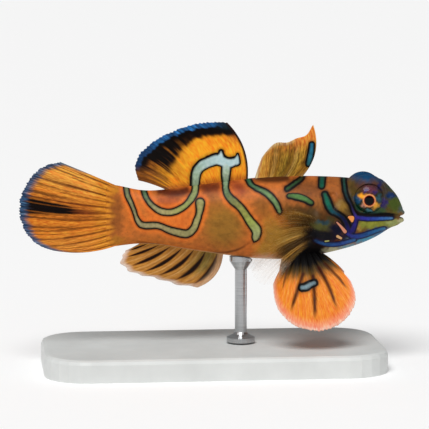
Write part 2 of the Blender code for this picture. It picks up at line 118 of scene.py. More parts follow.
def makeMesh(name, points, faces, material=None):
    world = (np.asarray(points, float) + (0, 0, axisHeight)) * mm
    mesh = bpy.data.meshes.new(name)
    mesh.from_pydata(world.tolist(), [], faces)
    if material:
        mesh.materials.append(material)
    piece = bpy.data.objects.new(name, mesh)
    bpy.context.collection.objects.link(piece)
    return piece


def turnFacesOut(piece):
    form = bmesh.new()
    form.from_mesh(piece.data)
    bmesh.ops.recalc_face_normals(form, faces=form.faces)
    form.to_mesh(piece.data)
    form.free()


def readVertices(piece, layer, key):
    flat = np.empty(len(piece.data.vertices) * 3)
    getattr(piece.data, layer).foreach_get(key, flat)
    return flat.reshape(-1, 3)


def pointsOf(piece):
    return readVertices(piece, "vertices", "co") / mm - (0, 0, axisHeight)


def movePoints(piece, points):
    piece.data.vertices.foreach_set("co", ((points + (0, 0, axisHeight)) * mm).ravel())
    piece.data.update()


def setNumber(piece, name, values):
    layer = piece.data.attributes.new(name, "FLOAT", "POINT")
    layer.data.foreach_set("value", np.ascontiguousarray(values, dtype=np.float32))


def setColour(piece, name, values):
    layer = piece.data.attributes.new(name, "FLOAT_COLOR", "POINT")
    full = np.ones((len(values), 4), dtype=np.float32)
    full[:, :3] = values
    layer.data.foreach_set("color", full.ravel())


def applyModifiers(piece):
    bpy.context.view_layer.update()
    shown = piece.evaluated_get(bpy.context.evaluated_depsgraph_get())
    mesh = bpy.data.meshes.new_from_object(shown)
    piece.modifiers.clear()
    piece.data = mesh


def voxelRemesh(piece, size):
    step = piece.modifiers.new("remesh", "REMESH")
    step.mode, step.voxel_size, step.adaptivity = "VOXEL", size * mm, 0
    applyModifiers(piece)


def cutAway(piece, cutters):
    group = bpy.data.collections.new("cutters")
    for cutter in cutters:
        group.objects.link(cutter)
    step = piece.modifiers.new("cut", "BOOLEAN")
    step.operation, step.operand_type, step.solver = "DIFFERENCE", "COLLECTION", "EXACT"
    step.collection = group
    applyModifiers(piece)
    for cutter in cutters:
        bpy.data.objects.remove(cutter)
    bpy.data.collections.remove(group)


# Rings of points joined into a skin; closed rings wrap round
def ringFaces(rings, around, wrap=True):
    faces = []
    for ring in range(rings - 1):
        for i in range(around if wrap else around - 1):
            j = (i + 1) % around
            start, after = ring * around, (ring + 1) * around
            faces.append([start + i, start + j, after + j, after + i])
    return faces


# Node trees: one call adds a node with its settings and links
def addNode(tree, kind, settings=None, **inputs):
    node = tree.nodes.new(kind)
    for name, value in (settings or {}).items():
        setattr(node, name, value)
    for name, value in inputs.items():
        key = int(name[1:]) if name[0] == "_" else name.replace("_", " ")
        socket = node.inputs[key]
        if isinstance(value, bpy.types.NodeSocket):
            tree.links.new(value, socket)
        else:
            socket.default_value = value
    return node


def newMaterial(name, finish):
    material = bpy.data.materials.new(name)
    material.use_nodes = True
    shader = material.node_tree.nodes["Principled BSDF"]
    for socket, value in finish.items():
        shader.inputs[socket].default_value = value
    return material, material.node_tree, shader


def rampOf(tree, source, stops):
    ramp = addNode(tree, "ShaderNodeValToRGB", _0=source)
    for element, (place, colour) in zip(ramp.color_ramp.elements, (stops[0], stops[-1])):
        element.position, element.color = place, (*fromHex(colour), 1)
    for place, colour in stops[1:-1]:
        ramp.color_ramp.elements.new(place).color = (*fromHex(colour), 1)
    return ramp.outputs["Color"]


def mixColours(tree, factor, first, second, blend="MIX"):
    mix = addNode(tree, "ShaderNodeMix", {"data_type": "RGBA", "blend_type": blend})
    for key, value in ((0, factor), (6, first), (7, second)):
        if isinstance(value, bpy.types.NodeSocket):
            tree.links.new(value, mix.inputs[key])
        elif isinstance(value, str):
            mix.inputs[key].default_value = (*fromHex(value), 1)
        else:
            mix.inputs[key].default_value = value
    return mix.outputs[2]


# The body: a loft of sections through named stations

body = {
    # x, back, belly, half width, height of the widest point
    "stations": (
        (34.9, 0.7, -1.8, 1.0, -0.8),
        (34.3, 2.1, -2.4, 1.9, -0.9),
        (32.9, 4.05, -2.95, 2.8, -1.1),
        (31.0, 5.85, -4.0, 3.7, -1.4),
        (28.4, 5.9, -5.3, 4.6, -2.2),
        (25.5, 6.1, -6.3, 5.4, -2.6),
        (22.0, 6.4, -7.2, 5.9, -2.4),
        (16.0, 6.6, -8.3, 5.8, -1.8),
        (8.7, 6.4, -8.4, 5.2, -1.4),
        (1.4, 5.7, -7.5, 4.4, -1.1),
        (-5.9, 4.8, -6.3, 3.4, -0.8),
        (-13.2, 4.4, -5.4, 2.3, -0.5),
        (-17.2, 5.3, -5.8, 1.2, -0.4),
        (-18.6, 5.6, -6.0, 0.6, -0.4),
    ),
    "roundBack": 1.95,
    "roundBelly": 2.25,
    "orbitAt": (28.0, 2.5, 3.25),
    "orbitRadii": (3.5, 2.7, 3.8),
    "orbitBlend": 0.9,
    "gillCover": {"at": (24.8, -1.6), "radii": (4.0, 4.9), "rise": 0.4},
    "pectoralLobe": {"at": (18.5, -2.2), "radii": (1.3, 2.9), "rise": 0.55},
    "ringStep": 0.25,
    "ringPoints": 150,
    "rear": -19.5,  # the skin runs on over the foot of the tail fin
    "voxel": 0.17,
}
eye = {
    "at": (28.0, 3.4, 2.85),
    "radii": (2.9, 2.2, 2.9),
    "seen": 2.62,
    "sunk": 0.5,  # the skin under the eyeball
    "lid": {"at": 0.22, "rise": 0.1, "width": 0.2},
    "lidReach": 0.9,
}


def stationAt(x):
    table = np.array(body["stations"])[::-1]
    return naturalSpline(table[:, 0], table[:, 1:], x).T


def raisedFlank(x, z):
    cover, lobe = body["gillCover"], body["pectoralLobe"]
    fromCover, fromLobe = (
        np.hypot((x - form["at"][0]) / form["radii"][0], (z - form["at"][1]) / form["radii"][1])
        for form in (cover, lobe))
    behind = smoothStep((cover["at"][0] - x) / cover["radii"][0] * 1.6)
    gill = cover["rise"] * ease(fromCover, 1.0, 0.86) * behind
    return np.maximum(gill, lobe["rise"] * ease(fromLobe, 1.25, 0.45))


def bodyPoints(x, turn):
    back, belly, halfWidth, widest = stationAt(x)
    upper = np.cos(turn) >= 0
    power = np.where(upper, 2 / body["roundBack"], 2 / body["roundBelly"])
    height = np.where(upper, back - widest, widest - belly)
    y = halfWidth * np.abs(np.sin(turn)) ** power
    z = widest + height * np.sign(np.cos(turn)) * np.abs(np.cos(turn)) ** power
    middle = widest + 0.3 * (back - widest)
    reach = np.hypot(y, z - middle)
    ahead = np.stack([y, z - middle]) / reach
    # how far the orbit's dome reaches from the section's middle
    at, radii = body["orbitAt"], body["orbitRadii"]
    inside = np.clip(1 - ((x - at[0]) / radii[0]) ** 2, 1e-9, 1)
    ry, rz = radii[1] * np.sqrt(inside), radii[2] * np.sqrt(inside)
    fy, fz = -at[1] / ry, (middle - at[2]) / rz
    dy, dz = ahead[0] / ry, ahead[1] / rz
    a, b, c = dy**2 + dz**2, 2 * (fy * dy + fz * dz), fy**2 + fz**2 - 1
    root = b * b - 4 * a * c
    dome = np.where(root > 0, (-b + np.sqrt(np.abs(root))) / (2 * a), 0)
    near = np.clip(body["orbitBlend"] - np.abs(dome - reach), 0, None) / body["orbitBlend"]
    full = np.maximum(dome, reach) + near**2 * body["orbitBlend"] / 4
    full = full + raisedFlank(x, z) * np.minimum(1, y / 2)
    return np.stack([x, np.sign(np.sin(turn)) * ahead[0] * full, middle + ahead[1] * full], axis=-1)


def flankHalfWidth(x, z):
    ring = bodyPoints(np.full(181, float(x)), np.linspace(0, math.pi, 181))
    order = np.argsort(ring[:, 2])
    return float(np.interp(z, ring[order, 2], ring[order, 1]))


def makeTube(name, path, radii, sides=16):
    path = np.asarray(path, float)
    radii = np.broadcast_to(radii, len(path))
    ahead = np.gradient(path, axis=0)
    points = []
    for at, along, radius in zip(path, ahead, radii):
        along = along / np.linalg.norm(along)
        side = np.cross(along, (0.1, 0.05, 1.0))
        side /= np.linalg.norm(side)
        up = np.cross(side, along)
        for turn in np.linspace(0, 2 * math.pi, sides, endpoint=False):
            points.append(at + radius * (math.cos(turn) * side + math.sin(turn) * up))
    faces = ringFaces(len(path), sides)
    faces += [list(range(sides)), list(range(len(points) - sides, len(points)))]
    piece = makeMesh(name, points, faces)
    turnFacesOut(piece)
    return piece


def unitSphere(around, down):
    form = bmesh.new()
    bmesh.ops.create_uvsphere(form, u_segments=around, v_segments=down, radius=1)
    points = np.array([v.co for v in form.verts])
    faces = [[v.index for v in face.verts] for face in form.faces]
    form.free()
    return points, faces


mouth = {
    "corner": (33.3, -0.95),
    "gape": 1.05,
    "tip": 36.0,
    "lip": 0.38,
    "lipRises": (0.62, -0.75),
    "lipInset": 0.22,
}
nostril = {
    "at": (32.6, 2.6),
    "radius": 0.34,
    "bore": 0.17,
    "foot": (-0.1, -0.4, -0.1),
    "tip": (0.25, 0.35, 0.35),
}
gillPore = {"at": (21.4, 3.7), "radii": (0.7, 0.45, 0.5)}


def lipPath(z, inset):
    front = body["stations"][0][0] - 0.1
    half = [(x, flankHalfWidth(x, z) - inset, z) for x in np.linspace(mouth["corner"][0] + 0.1, front, 9)]
    return smoothCurve([*half, *[(x, -y, z) for x, y, z in half[::-1]]], 40)


def shadeSmooth(piece):
    for polygon in piece.data.polygons:
        polygon.use_smooth = True


def joinInto(piece, others):
    form = bmesh.new()
    form.from_mesh(piece.data)
    for other in others:
        form.from_mesh(other.data)
        bpy.data.objects.remove(other)
    form.to_mesh(piece.data)
    form.free()


def makeSkinForm():
    front, rear = body["stations"][0][0], body["rear"]
    places = np.append(np.arange(front, rear, -body["ringStep"]), rear)
    turns = np.linspace(0, 2 * math.pi, body["ringPoints"], endpoint=False)
    x, turn = (grid.ravel() for grid in np.meshgrid(places, turns, indexing="ij"))
    points = bodyPoints(x, turn)
    faces = ringFaces(len(places), len(turns))
    count = len(points)
    tips = []
    for start, tip in ((0, front + 0.15), (count - len(turns), rear - 0.1)):
        rim = list(range(start, start + len(turns)))
        tips.append((tip, 0, points[rim, 2].mean()))
        faces += [[a, b, count + len(tips) - 1] for a, b in zip(rim, [*rim[1:], rim[0]])]
    skin = makeMesh("skin", np.vstack([points, tips]), faces)
    turnFacesOut(skin)
    cornerX, cornerZ = mouth["corner"]
    raised = [makeTube("lip", lipPath(cornerZ + rise, mouth["lipInset"]), mouth["lip"])
              for rise in mouth["lipRises"]]
    cuts = []
    for side in (-1, 1):
        x, z = nostril["at"]
        y = flankHalfWidth(x, z)
        foot, tip = ((np.array([x, y, z]) + nostril[end]) * (1, side, 1) for end in ("foot", "tip"))
        raised.append(makeTube("nostril", np.linspace(foot, tip, 6), nostril["radius"]))
        bore = np.linspace((foot + tip) / 2, tip * 1.5 - foot * 0.5, 4)
        cuts.append(makeTube("nostrilBore", bore, nostril["bore"]))
        x, z = gillPore["at"]
        points, faces = unitSphere(40, 20)
        centre = (x, side * (flankHalfWidth(x, z) + 0.1), z)
        cuts.append(makeMesh("pore", points * gillPore["radii"] + centre, faces))
    joinInto(skin, raised)
    voxelRemesh(skin, body["voxel"] * 1.2)
    gape = mouth["gape"] / 2
    wedge = [(cornerX, y, cornerZ) for y in (-4, 4)]
    wedge += [(mouth["tip"], y, cornerZ + rise) for rise in (gape, -gape) for y in (-4, 4)]
    cuts.append(makeMesh("gape", wedge, [[0, 1, 3, 2], [2, 3, 5, 4], [4, 5, 1, 0], [0, 2, 4], [1, 5, 3]]))
    for cutter in cuts:
        turnFacesOut(cutter)
    cutAway(skin, cuts)
    voxelRemesh(skin, body["voxel"])
    step = skin.modifiers.new("soften", "SMOOTH")
    step.factor, step.iterations = 0.5, 3
    applyModifiers(skin)
    return skin


# Pushes the skin in under the eyeball and raises a soft rim round it
def openEyes(points):
    points = points.copy()
    seen, lid, lidEnd = eye["seen"], eye["lid"], eye["seen"] + eye["lidReach"]
    reach = np.hypot(points[:, 0] - eye["at"][0], points[:, 2] - eye["at"][2])
    depth = np.abs(points[:, 1])
    onOrbit = (depth > 2.5) & (reach < eye["radii"][0] + 1.2)
    ball = eye["at"][1] + eye["radii"][1] * np.sqrt(np.clip(1 - (reach / eye["radii"][0]) ** 2, 0, 1))
    lifted = np.maximum(depth, ball + 0.02) + lid["rise"] * bell(reach, seen + lid["at"], lid["width"])
    lifted = np.where(reach < lidEnd, lifted, depth)
    blend = ease(reach, lidEnd, lidEnd - 0.5)
    opened = ease(reach, seen + 0.1, seen - 0.1)
    new = (ball - eye["sunk"]) * opened + (depth * (1 - blend) + lifted * blend) * (1 - opened)
    points[:, 1] = np.where(onOrbit, np.sign(points[:, 1]) * new, points[:, 1])
    return points


# Markings of the skin, on the photographed flank in photo pixels. A line has places along it, and half
# widths and colours from its start to its end. edge is how broad its outline is, on both sides or left and
# right of the way it runs. fade is how far each end dies away, and ink is an outline that isn't black.
blackInk = "#060303"
strokes = {
    "tailLoop": {
        "at": ((126, 186), (127.6, 195), (131, 203), (134, 210.5), (136.8, 218.5), (140.5, 224),
            (147.5, 225.6), (156, 225.4), (163, 227.4), (171.5, 230.9), (180, 233), (187, 233.7),
            (192.5, 230), (196.6, 221.5), (199.6, 211.5), (200.2, 202.8)),
        "half": (1.7, 1.9, 1.5, 1.4, 2.3, 2.6, 2.3, 2.8, 3.1, 2.9, 2.7, 2.7, 3.9), "edge": 1.4,
        "colours": ("#6f7a55", "#8f8a60", "#a0946a", "#a39468", "#9f9462", "#a09a64", "#9a9660")},
    "saddleLoop": {
        "at": ((143, 184), (144.5, 193), (147.5, 200), (153, 206.4), (160, 210.8), (168.6, 212.5),
            (177, 210.6), (185.7, 205.3), (191.5, 198.5), (194.8, 191.5), (195.6, 182), (195.7, 172)),
        "half": (2.2, 1.9, 2.0, 2.4, 2.4, 2.3, 2.6, 2.4, 2.9), "edge": (1.4, 1.4),
        "colours": ("#2d5a46", "#5f7450", "#9c9468", "#a89c68", "#969a58", "#8a9458", "#8f9c6a", "#b3c6ac")},
    "flankLine": {
        "at": ((226, 168), (225.6, 176), (225.6, 184), (226.5, 192), (230.5, 198.5), (236.5, 203.8),
            (242.5, 210), (247.5, 217.5), (252.5, 224.5), (256.6, 231), (255.6, 238), (252, 246)),
        "half": (3.3, 2.9, 2.1, 2.4, 3.2, 3.0, 2.9, 3.5, 4.5, 3.0, 1.8), "edge": 1.5, "fade": (0, 9),
        "colours": ("#c3cfb8", "#8aa684", "#5c7048", "#7f7f4a", "#8f9048", "#98a252", "#a5ac74", "#a39c60")},
    "shoulderLine": {
        "at": ((246.3, 166), (247.6, 177), (250.6, 183.8), (257, 188.3), (264.5, 192), (271, 197),
            (276, 203.5), (279.2, 211), (280.3, 219)),
        "half": (1.7, 1.8, 1.5, 2.1, 2.5, 2.1, 1.0), "edge": 1.8, "fade": (0, 8),
        "colours": ("#1d4a3c", "#2f6448", "#567a54", "#6f8c5a", "#6f8a58", "#66764a")},
    "napeBar": {
        "at": ((303.5, 175.5), (300, 179.6), (294, 184), (287.2, 188.8)),
        "half": (0.6, 1.2, 1.2), "edge": 2.3,
        "colours": ("#15240f", "#264a2c", "#305a36")},
    "gillBar": {
        "at": ((289.5, 195.6), (296.3, 196.2), (304.5, 198.6), (311.5, 202.6)),
        "half": (1.6, 2.3, 2.3, 1.6), "edge": (0.9, 2.2),
        "colours": ("#4c7038", "#527f42", "#42683a")},
    "crownBar": {
        "at": ((322.5, 172), (322, 180), (321.6, 186)),
        "half": (2.3, 2.5, 2.3), "edge": 1.7,
        "colours": ("#16281c", "#0f4a3c", "#0e5540")},
    "cheekLine": {
        "at": ((325, 194.5), (326.9, 199.5), (329.2, 206), (332.2, 210.8), (337, 214), (342.3, 217.4),
            (346, 222.5), (348, 228), (349.6, 233)),
        "half": (1.9, 2.6, 2.3, 1.7, 1.8, 2.0, 2.2), "edge": 2.2,
        "colours": ("#125844", "#15624c", "#0d4450", "#0b1a3c", "#101040", "#221c60")},
    "jawBand": {
        "at": ((347, 233), (351, 235.8), (357, 236.6), (363, 235.6), (371, 232.8), (380, 229.6),
            (390, 227.6)),
        "half": (2.0, 2.5, 2.3, 1.9, 1.2), "edge": (0.9, 0.5), "fade": (0, 6), "ink": "#0c1440",
        "colours": ("#2c2878", "#26408e", "#1f5694", "#2a6ca2", "#4a86ae")},
    "eyeLine": {
        "at": ((344, 172), (344.3, 185), (345.8, 193.5), (348.3, 199.8), (351.3, 205.5), (353.2, 211),
            (356, 216)),
        "half": (1.2, 1.2, 1.0, 0.7, 1.5), "edge": 2.1,
        "colours": ("#10382e", "#164c44", "#103a42", "#1a1c4c", "#3a2c88")},
    "mouthBand": {
        "at": ((355, 216.8), (361, 218.2), (368, 218.8), (380, 218.6), (397, 218)),
        "half": (2.0, 1.9, 1.6, 1.2), "edge": 0.8, "fade": (0, 5), "ink": "#0c1030",
        "colours": ("#342880", "#2f3096", "#2c4aa0", "#3a6cae", "#5f8fb0")},
    "tearLink": {
        "at": ((356, 218), (355, 224), (352, 231)),
        "half": (2.0, 2.4), "edge": 1.0, "ink": "#0c0a38",
        "colours": ("#2c2278", "#241d66")},
    "throatBand": {
        "at": ((311, 238.5), (320, 242.6), (331, 244.6), (342.5, 243.4), (352, 240.5), (360, 238.6)),
        "half": (1.4, 2.1, 2.0, 1.6), "edge": (0.9, 0.4), "fade": (5, 6), "ink": "#0a0e34",
        "colours": ("#1c3c68", "#22508a", "#2a4a96", "#2f6a9c")},
}
# Lines of one soft colour: where they run, their half width and soft edge, and how strong they are. Some of
# them are painted shade, under the fins and in the folds of the gill.
softLines = {
    "fieldEdge": {
        "at": ((137, 241.4), (160, 245), (181, 249), (210, 252.6), (228, 252), (243, 247), (251, 241)),
        "half": 0.3, "soft": 1.4, "colour": "#5a2a0c", "strength": 0.7},
    # painted shade on the back under the second dorsal fin
    "shadeUnderSecondDorsal": {
        "at": ((155, 189), (170, 192.5), (182, 192), (191, 188)),
        "half": 1.0, "soft": 6.5, "colour": "#4a1808", "strength": 0.95},
    # painted shade on the back under the middle of the second dorsal fin
    "shadeUnderArch": {
        "at": ((199, 185), (210, 187.5), (221, 185)),
        "half": 0.8, "soft": 7, "colour": "#56200c", "strength": 0.85},
    "shoulderTop": {
        "at": ((229, 181), (238, 186), (246, 192)),
        "half": 1.2, "soft": 5, "colour": "#86361a", "strength": 0.6},
    # painted shade on the back under the first dorsal fin
    "shadeUnderFirstDorsal": {
        "at": ((252, 176.5), (272, 179), (292, 177)),
        "half": 1.2, "soft": 5.5, "colour": "#42200a", "strength": 0.95},
    "mouthLine": {
        "at": ((352, 209), (355.5, 212.6), (361, 214.7), (368, 215.5), (376, 215.3), (386, 214.8),
            (398, 216.4)),
        "half": 1.8, "soft": 1.1, "colour": "#030305", "strength": 1.0},
    # painted shade in the gill opening under the gill cover, a near-black band
    "gillOpeningShade": {
        "at": ((303, 225), (311, 231.5), (322, 235.5), (334, 236)),
        "half": 2.6, "soft": 3.6, "colour": "#06060e", "strength": 0.97},
    # painted shade in the fold of the skin behind the gill
    "gillFoldCreaseShade": {
        "at": ((301, 208), (304, 214), (306, 222)),
        "half": 1.0, "soft": 6, "colour": "#3c2810", "strength": 0.4},
}
# Light spots: places along the spot, its half widths and colour
lightSpots = {
    "cheekTear": (((349.3, 217.3), (351.6, 218.6), (352, 221)), (1.3, 2.9, 1.2), "#e08e4a"),
    "cheekStroke": (((336.9, 222.3), (341, 226.6), (345, 231.6)), (0.6, 1.1, 1.7), "#c98468"),
    "throatSpot": (((337.6, 236.4), (341, 238.3)), (1.3, 1.1), "#d0a070"),
    "gillSpot": (((325.3, 241.3), (328.8, 240.9)), (0.7, 0.6), "#a6a664"),
}
# Soft patches of the ground colour, laid in this order: place and reach, colour and strength
groundColour = "#b9662a"
groundPatches = {
    "tailEnd": ((115, 213), (8, 26), "#8a4e20", 0.95),
    "tailEndTop": ((113, 189), (8, 6), "#b8761e", 0.9),
    "tailEndBelly": ((116, 241), (12, 5), "#a2691f", 0.9),
    "behindLoop": ((129, 217), (5, 20), "#bc6626", 0.8),
    "insideTailLoop": ((167, 221), (27, 10), "#d5702a", 1.0),
    "belowTailLoop": ((165, 240), (40, 6), "#b9692a", 1.0),
    "insideSaddle": ((168, 203), (17, 8), "#ac5220", 1.0),
    "betweenStems": ((210, 190), (12, 8), "#8c441c", 1.0),
    "behindStem": ((237, 190), (8, 9), "#9c4a22", 0.9),
    "fieldTop": ((212, 203), (8, 12), "#9c5822", 0.9),
    "field": ((224, 226), (22, 24), "#8e6224", 1.0),
    "besideShoulder": ((263, 206), (10, 12), "#8c5520", 0.9),
    "besideShoulderLow": ((270, 226), (9, 12), "#a06a26", 0.9),
    "betweenShoulderAndBar": ((285, 199), (7, 9), "#a4602a", 0.8),
    "headBase": ((366, 206), (46, 44), "#56401c", 1.0),
    "upperFlank": ((308, 189), (18, 11), "#7a451e", 0.95),
    "upperFlankLow": ((318, 205), (6, 8), "#9c602a", 0.8),
    "gillBase": ((314, 228), (26, 22), "#2c210f", 0.95),
    "belowGillBar": ((293, 213), (17, 10), "#5a3c14", 0.95),
    "gillFoldShade": ((311, 215), (9, 9), "#4a3416", 0.95),
    "goldFan": ((277, 237), (17, 13), "#96702a", 1.0),
    "goldFanLow": ((266, 249), (14, 7), "#ab7e2e", 0.9),
    "darkFan": ((297, 236), (9, 9), "#4a3612", 0.9),
    "chestRear": ((293, 252), (15, 11), "#1c1308", 0.9),
    "chest": ((308, 252), (30, 19), "#040304", 1.0),
    "oliveGill": ((321, 226.5), (14, 5.5), "#4a4a22", 0.95),
    "gillSpotBlue": ((323.5, 222.4), (7.5, 2.4), "#173a4a", 0.75),
    "violetGill": ((325, 238), (12, 4.5), "#0e0a2c", 0.9),
    "cheek": ((333, 189), (11, 13), "#985626", 1.0),
    "cheekLow": ((341, 207), (6, 7), "#8c6a2c", 0.9),
    "cheekFoot": ((331, 219), (4, 4), "#3c3418", 0.9),
    "navyPatch": ((337, 230), (9, 8.5), "#060620", 1.0),
    "violetCheek": ((350.5, 227), (6, 8), "#16104a", 0.9),
    "navyLow": ((342.5, 237.4), (10, 3.6), "#0b0a2c", 0.95),
    "besideEye": ((350.5, 184), (3.5, 8), "#644a1e", 1.0),
    "besideEyeLow": ((351, 198), (3, 5), "#3c3a1a", 0.9),
    "jaw": ((377, 224.6), (23, 5), "#7f8230", 1.0),
    "jawRear": ((358, 227), (3, 4), "#a3803c", 0.9),
    "jawFront": ((393, 222.5), (9, 3.2), "#98a060", 0.9),
    "jawTip": ((402, 220), (4, 3.5), "#aeac80", 1.0),
    "throat": ((368, 239.5), (20, 4.6), "#3f86a4", 1.0),
    "throatFront": ((384, 232.5), (16, 4.5), "#2c6c98", 1.0),
    "throatRear": ((347, 247), (11, 3.2), "#5f92a4", 0.9),
    "chin": ((333, 251), (9, 4.5), "#a8a684", 1.0),
}
# Patches that run on from the skin over the eyeball
eyePatches = {
    "browRear": ((355, 187), (6, 9), "#4f3e1a", 0.95),
    "brow": ((367, 185), (12, 7), "#4b2f26", 1.0),
    "browFront": ((384, 190), (7, 8), "#3f3226", 0.95),
    "dome": ((366, 174), (19, 8), "#083a60", 1.0),
    "domeFront": ((384, 179), (8, 5), "#1a3850", 0.95),
    "snoutTop": ((393, 187), (7, 5), "#27382e", 0.95),
    "snout": ((396, 202), (11, 12), "#42501e", 1.0),
    "snoutPatch": ((391, 195.5), (5.5, 3.2), "#122c58", 1.0),
    "snoutTip": ((403, 209), (4.5, 5), "#4c5c56", 1.0),
    "navyBar": ((379.5, 185.5), (2.4, 5), "#1a1c50", 0.95),
    "blueRear": ((357.6, 199.5), (4, 4.6), "#134466", 1.0),
    "underEye": ((357, 208), (6, 5), "#143a26", 1.0),
    "lowerLid": ((371, 213), (15, 3), "#1c4238", 1.0),
    # painted highlight, a pale grey-blue spot low on the eye
    "paleLowHighlight": ((369.5, 210.6), (3.4, 1.8), "#4a7f8a", 0.9),
    "greenFront": ((380.5, 209), (5, 5), "#34502c", 0.9),
    "tealFront": ((379, 198), (3, 4), "#2b5660", 0.9),
    "violetFront": ((384.5, 203), (4, 4.6), "#30226a", 0.95),
    "purpleTop": ((370, 190), (7.5, 4.2), "#643448", 0.85),
    "violetTop": ((366.4, 190.8), (2.2, 1.6), "#34286c", 0.9),
    "violetTopFront": ((374.8, 192), (2.4, 1.6), "#33285e", 0.9),
}


# Distance in photo pixels to a line, how far along it the nearest place is, 0 to 1, its length, and on which
# side of it the point is, -1 on the left to 1 on the right
def nearestOn(places, at):
    line = smoothCurve(at, 8 * len(at))
    best = np.full(len(places), 1e9)
    share, side = np.zeros(len(places)), np.zeros(len(places))
    for i, (a, b) in enumerate(zip(line[:-1], line[1:])):
        run = b - a
        along = np.clip(((places - a) @ run) / (run @ run), 0, 1)
        apart = places - a - along[:, None] * run
        gap = np.linalg.norm(apart, axis=1)
        closer = gap < best
        best = np.where(closer, gap, best)
        share = np.where(closer, (i + along) / (len(line) - 1), share)
        turn = (run[0] * apart[:, 1] - run[1] * apart[:, 0]) / (np.linalg.norm(run) * np.maximum(gap, 1e-6))
        side = np.where(closer, turn, side)
    length = np.linalg.norm(np.diff(line, axis=0), axis=1).sum()
    return best, share, length, side


# A value that runs through the given ones from the start of a line to its end
def alongLine(share, values):
    values = np.asarray(values, float)
    at = np.linspace(0, 1, len(values))
    if values.ndim == 1:
        return np.interp(share, at, values)
    return np.stack([np.interp(share, at, values[:, k]) for k in range(values.shape[1])], axis=-1)


# Gives each point its nearest outlined line: how many outline widths off its core is, its colour and its ink.
# What comes back is how many photo pixels off the core is.
def setLines(piece, places, drawn):
    reach, inEdges = np.full(len(places), 60.0), np.full(len(places), 30.0)
    colour, ink = np.zeros((len(places), 3)), np.zeros((len(places), 3))
    for stroke in drawn.values():
        gap, share, length, side = nearestOn(places, stroke["at"])
        start, end = stroke.get("fade", (0, 0))
        solid = np.ones(len(places))
        if start:
            solid *= smoothStep(share * length / start)
        if end:
            solid *= smoothStep((1 - share) * length / end)
        left, right = stroke["edge"] if isinstance(stroke["edge"], tuple) else (stroke["edge"],) * 2
        own = gap - alongLine(share, stroke["half"])
        edges = np.where(own > 0, own / (left + (right - left) * (side + 1) / 2), own / 2) + 3 * (1 - solid)
        closer = edges < inEdges
        reach = np.where(closer, own, reach)
        inEdges = np.where(closer, edges, inEdges)
        colour[closer] = alongLine(share, [fromHex(code) for code in stroke["colours"]])[closer]
        ink[closer] = fromHex(stroke.get("ink", blackInk))
    setNumber(piece, "lineReach", inEdges)
    setColour(piece, "lineColour", colour)
    setColour(piece, "lineInk", ink)
    return reach


# Colours laid over a ground in turn, each with how much of it there is, 0 to 1
def layered(ground, layers):
    colour = fromHex(ground) if isinstance(ground, str) else ground
    for code, share in layers:
        share = np.clip(share, 0, 1)[:, None]
        colour = colour * (1 - share) + fromHex(code) * share
    return colour


# Wavers the places by a pixel or so, which gives the patches uneven edges
def waver(places):
    across, down = places.T
    sideways = np.sin(0.61 * down + 0.23 * across + 1.0) + 0.6 * np.sin(1.37 * down - 0.9 * across)
    upright = np.sin(0.57 * across - 0.31 * down + 2.0) + 0.6 * np.sin(1.21 * across + 0.8 * down)
    return places + np.stack([sideways, upright], axis=1) * 0.9


def paintPatches(places, ground, patches):
    places = waver(places)
    return layered(ground, [
        (code, strength * ease(np.hypot(*((places - at) / reach).T), 1.45, 0.4))
        for at, reach, code, strength in patches.values()])


def paintSoftLines(places, ground, lines):
    layers = []
    for line in lines.values():
        gap, share = nearestOn(places, line["at"])[:2]
        ends = ease(share, 0, 0.12) * ease(share, 1, 0.88)
        near = 1 - smoothStep((gap - line["half"]) / line["soft"])
        layers.append((line["colour"], line["strength"] * near * (0.35 + 0.65 * ends)))
    return layered(ground, layers)


rayFeet = {"skinTo": 124, "reach": 116, "gold": "#d48828", "dark": "#5a240a"}  # photo pixels and colours


# The tail fin's rays begin on the skin, as dark lines between golden ones
def paintRayFeet(colour, points, places):
    tail = fins["caudalFin"]
    onTail = places[:, 0] < rayFeet["skinTo"]
    x, z = points[onTail, 0], points[onTail, 2]
    shares = np.linspace(0, 1, 8 * tail["rays"])
    lines = finSurface(tail, *np.meshgrid(shares, np.linspace(-1, 0.4, 15), indexing="ij"))[0]
    heights = np.stack([np.interp(-x, -line[:, 0], line[:, 2]) for line in lines])
    upper = np.clip((heights > z).sum(axis=0) - 1, 0, len(shares) - 2)
    row = np.arange(len(x))
    gap = heights[upper, row] - heights[upper + 1, row]
    share = shares[upper] + np.clip((heights[upper, row] - z) / gap, 0, 1) * shares[1]
    place = share * (tail["rays"] - 1)
    fromRay = np.abs(place - np.round(place)) * 2
    foot = rayFeet["reach"] + 2.0 * np.sin(place * 2.4) - places[onTail, 0]
    colour[onTail] = layered(colour[onTail], (
        (rayFeet["gold"], ease(foot, 0, 9) * (1 - 0.4 * fromRay)),
        (rayFeet["dark"], ease(fromRay, 0.58, 0.88) * ease(foot, 0, 8) * 0.72),
    ))
    return colour


def paintSkin(skin):
    points = pointsOf(skin)
    places = photoPlace(points)
    across = places[:, 0]
    reach = setLines(skin, places, strokes)
    ground = paintPatches(places, paintPatches(places, groundColour, groundPatches), eyePatches)
    # bright orange runs beside the lines of the trunk, dull gold beside those of the head
    trunk = 1 - 0.6 * ease(across, 222, 244) - 0.4 * ease(across, 258, 278)
    light = ease(ground.mean(axis=1), 0.035, 0.095)
    ground = layered(ground, [(skinLook["glow"], ease(reach, 7.5, 2.5) * light * trunk * 0.75)])
    ground = paintRayFeet(paintSoftLines(places, ground, softLines), points, places)
    # the hidden underside is pale
    under = ease(-readVertices(skin, "vertex_normals", "vector")[:, 2], 0.84, 0.98) * ease(across, 300, 270)
    setColour(skin, "ground", layered(ground, [(skinLook["underside"], under * 0.7)]))
    spotReach = np.full(len(places), 9.0)
    spotColour = np.zeros((len(places), 3))
    for at, half, code in lightSpots.values():
        gap, share = nearestOn(places, at)[:2]
        own = gap - alongLine(share, half)
        closer = own < spotReach
        spotReach = np.where(closer, own, spotReach)
        spotColour[closer] = fromHex(code)
    setNumber(skin, "spotReach", spotReach)
    setColour(skin, "spotColour", spotColour)


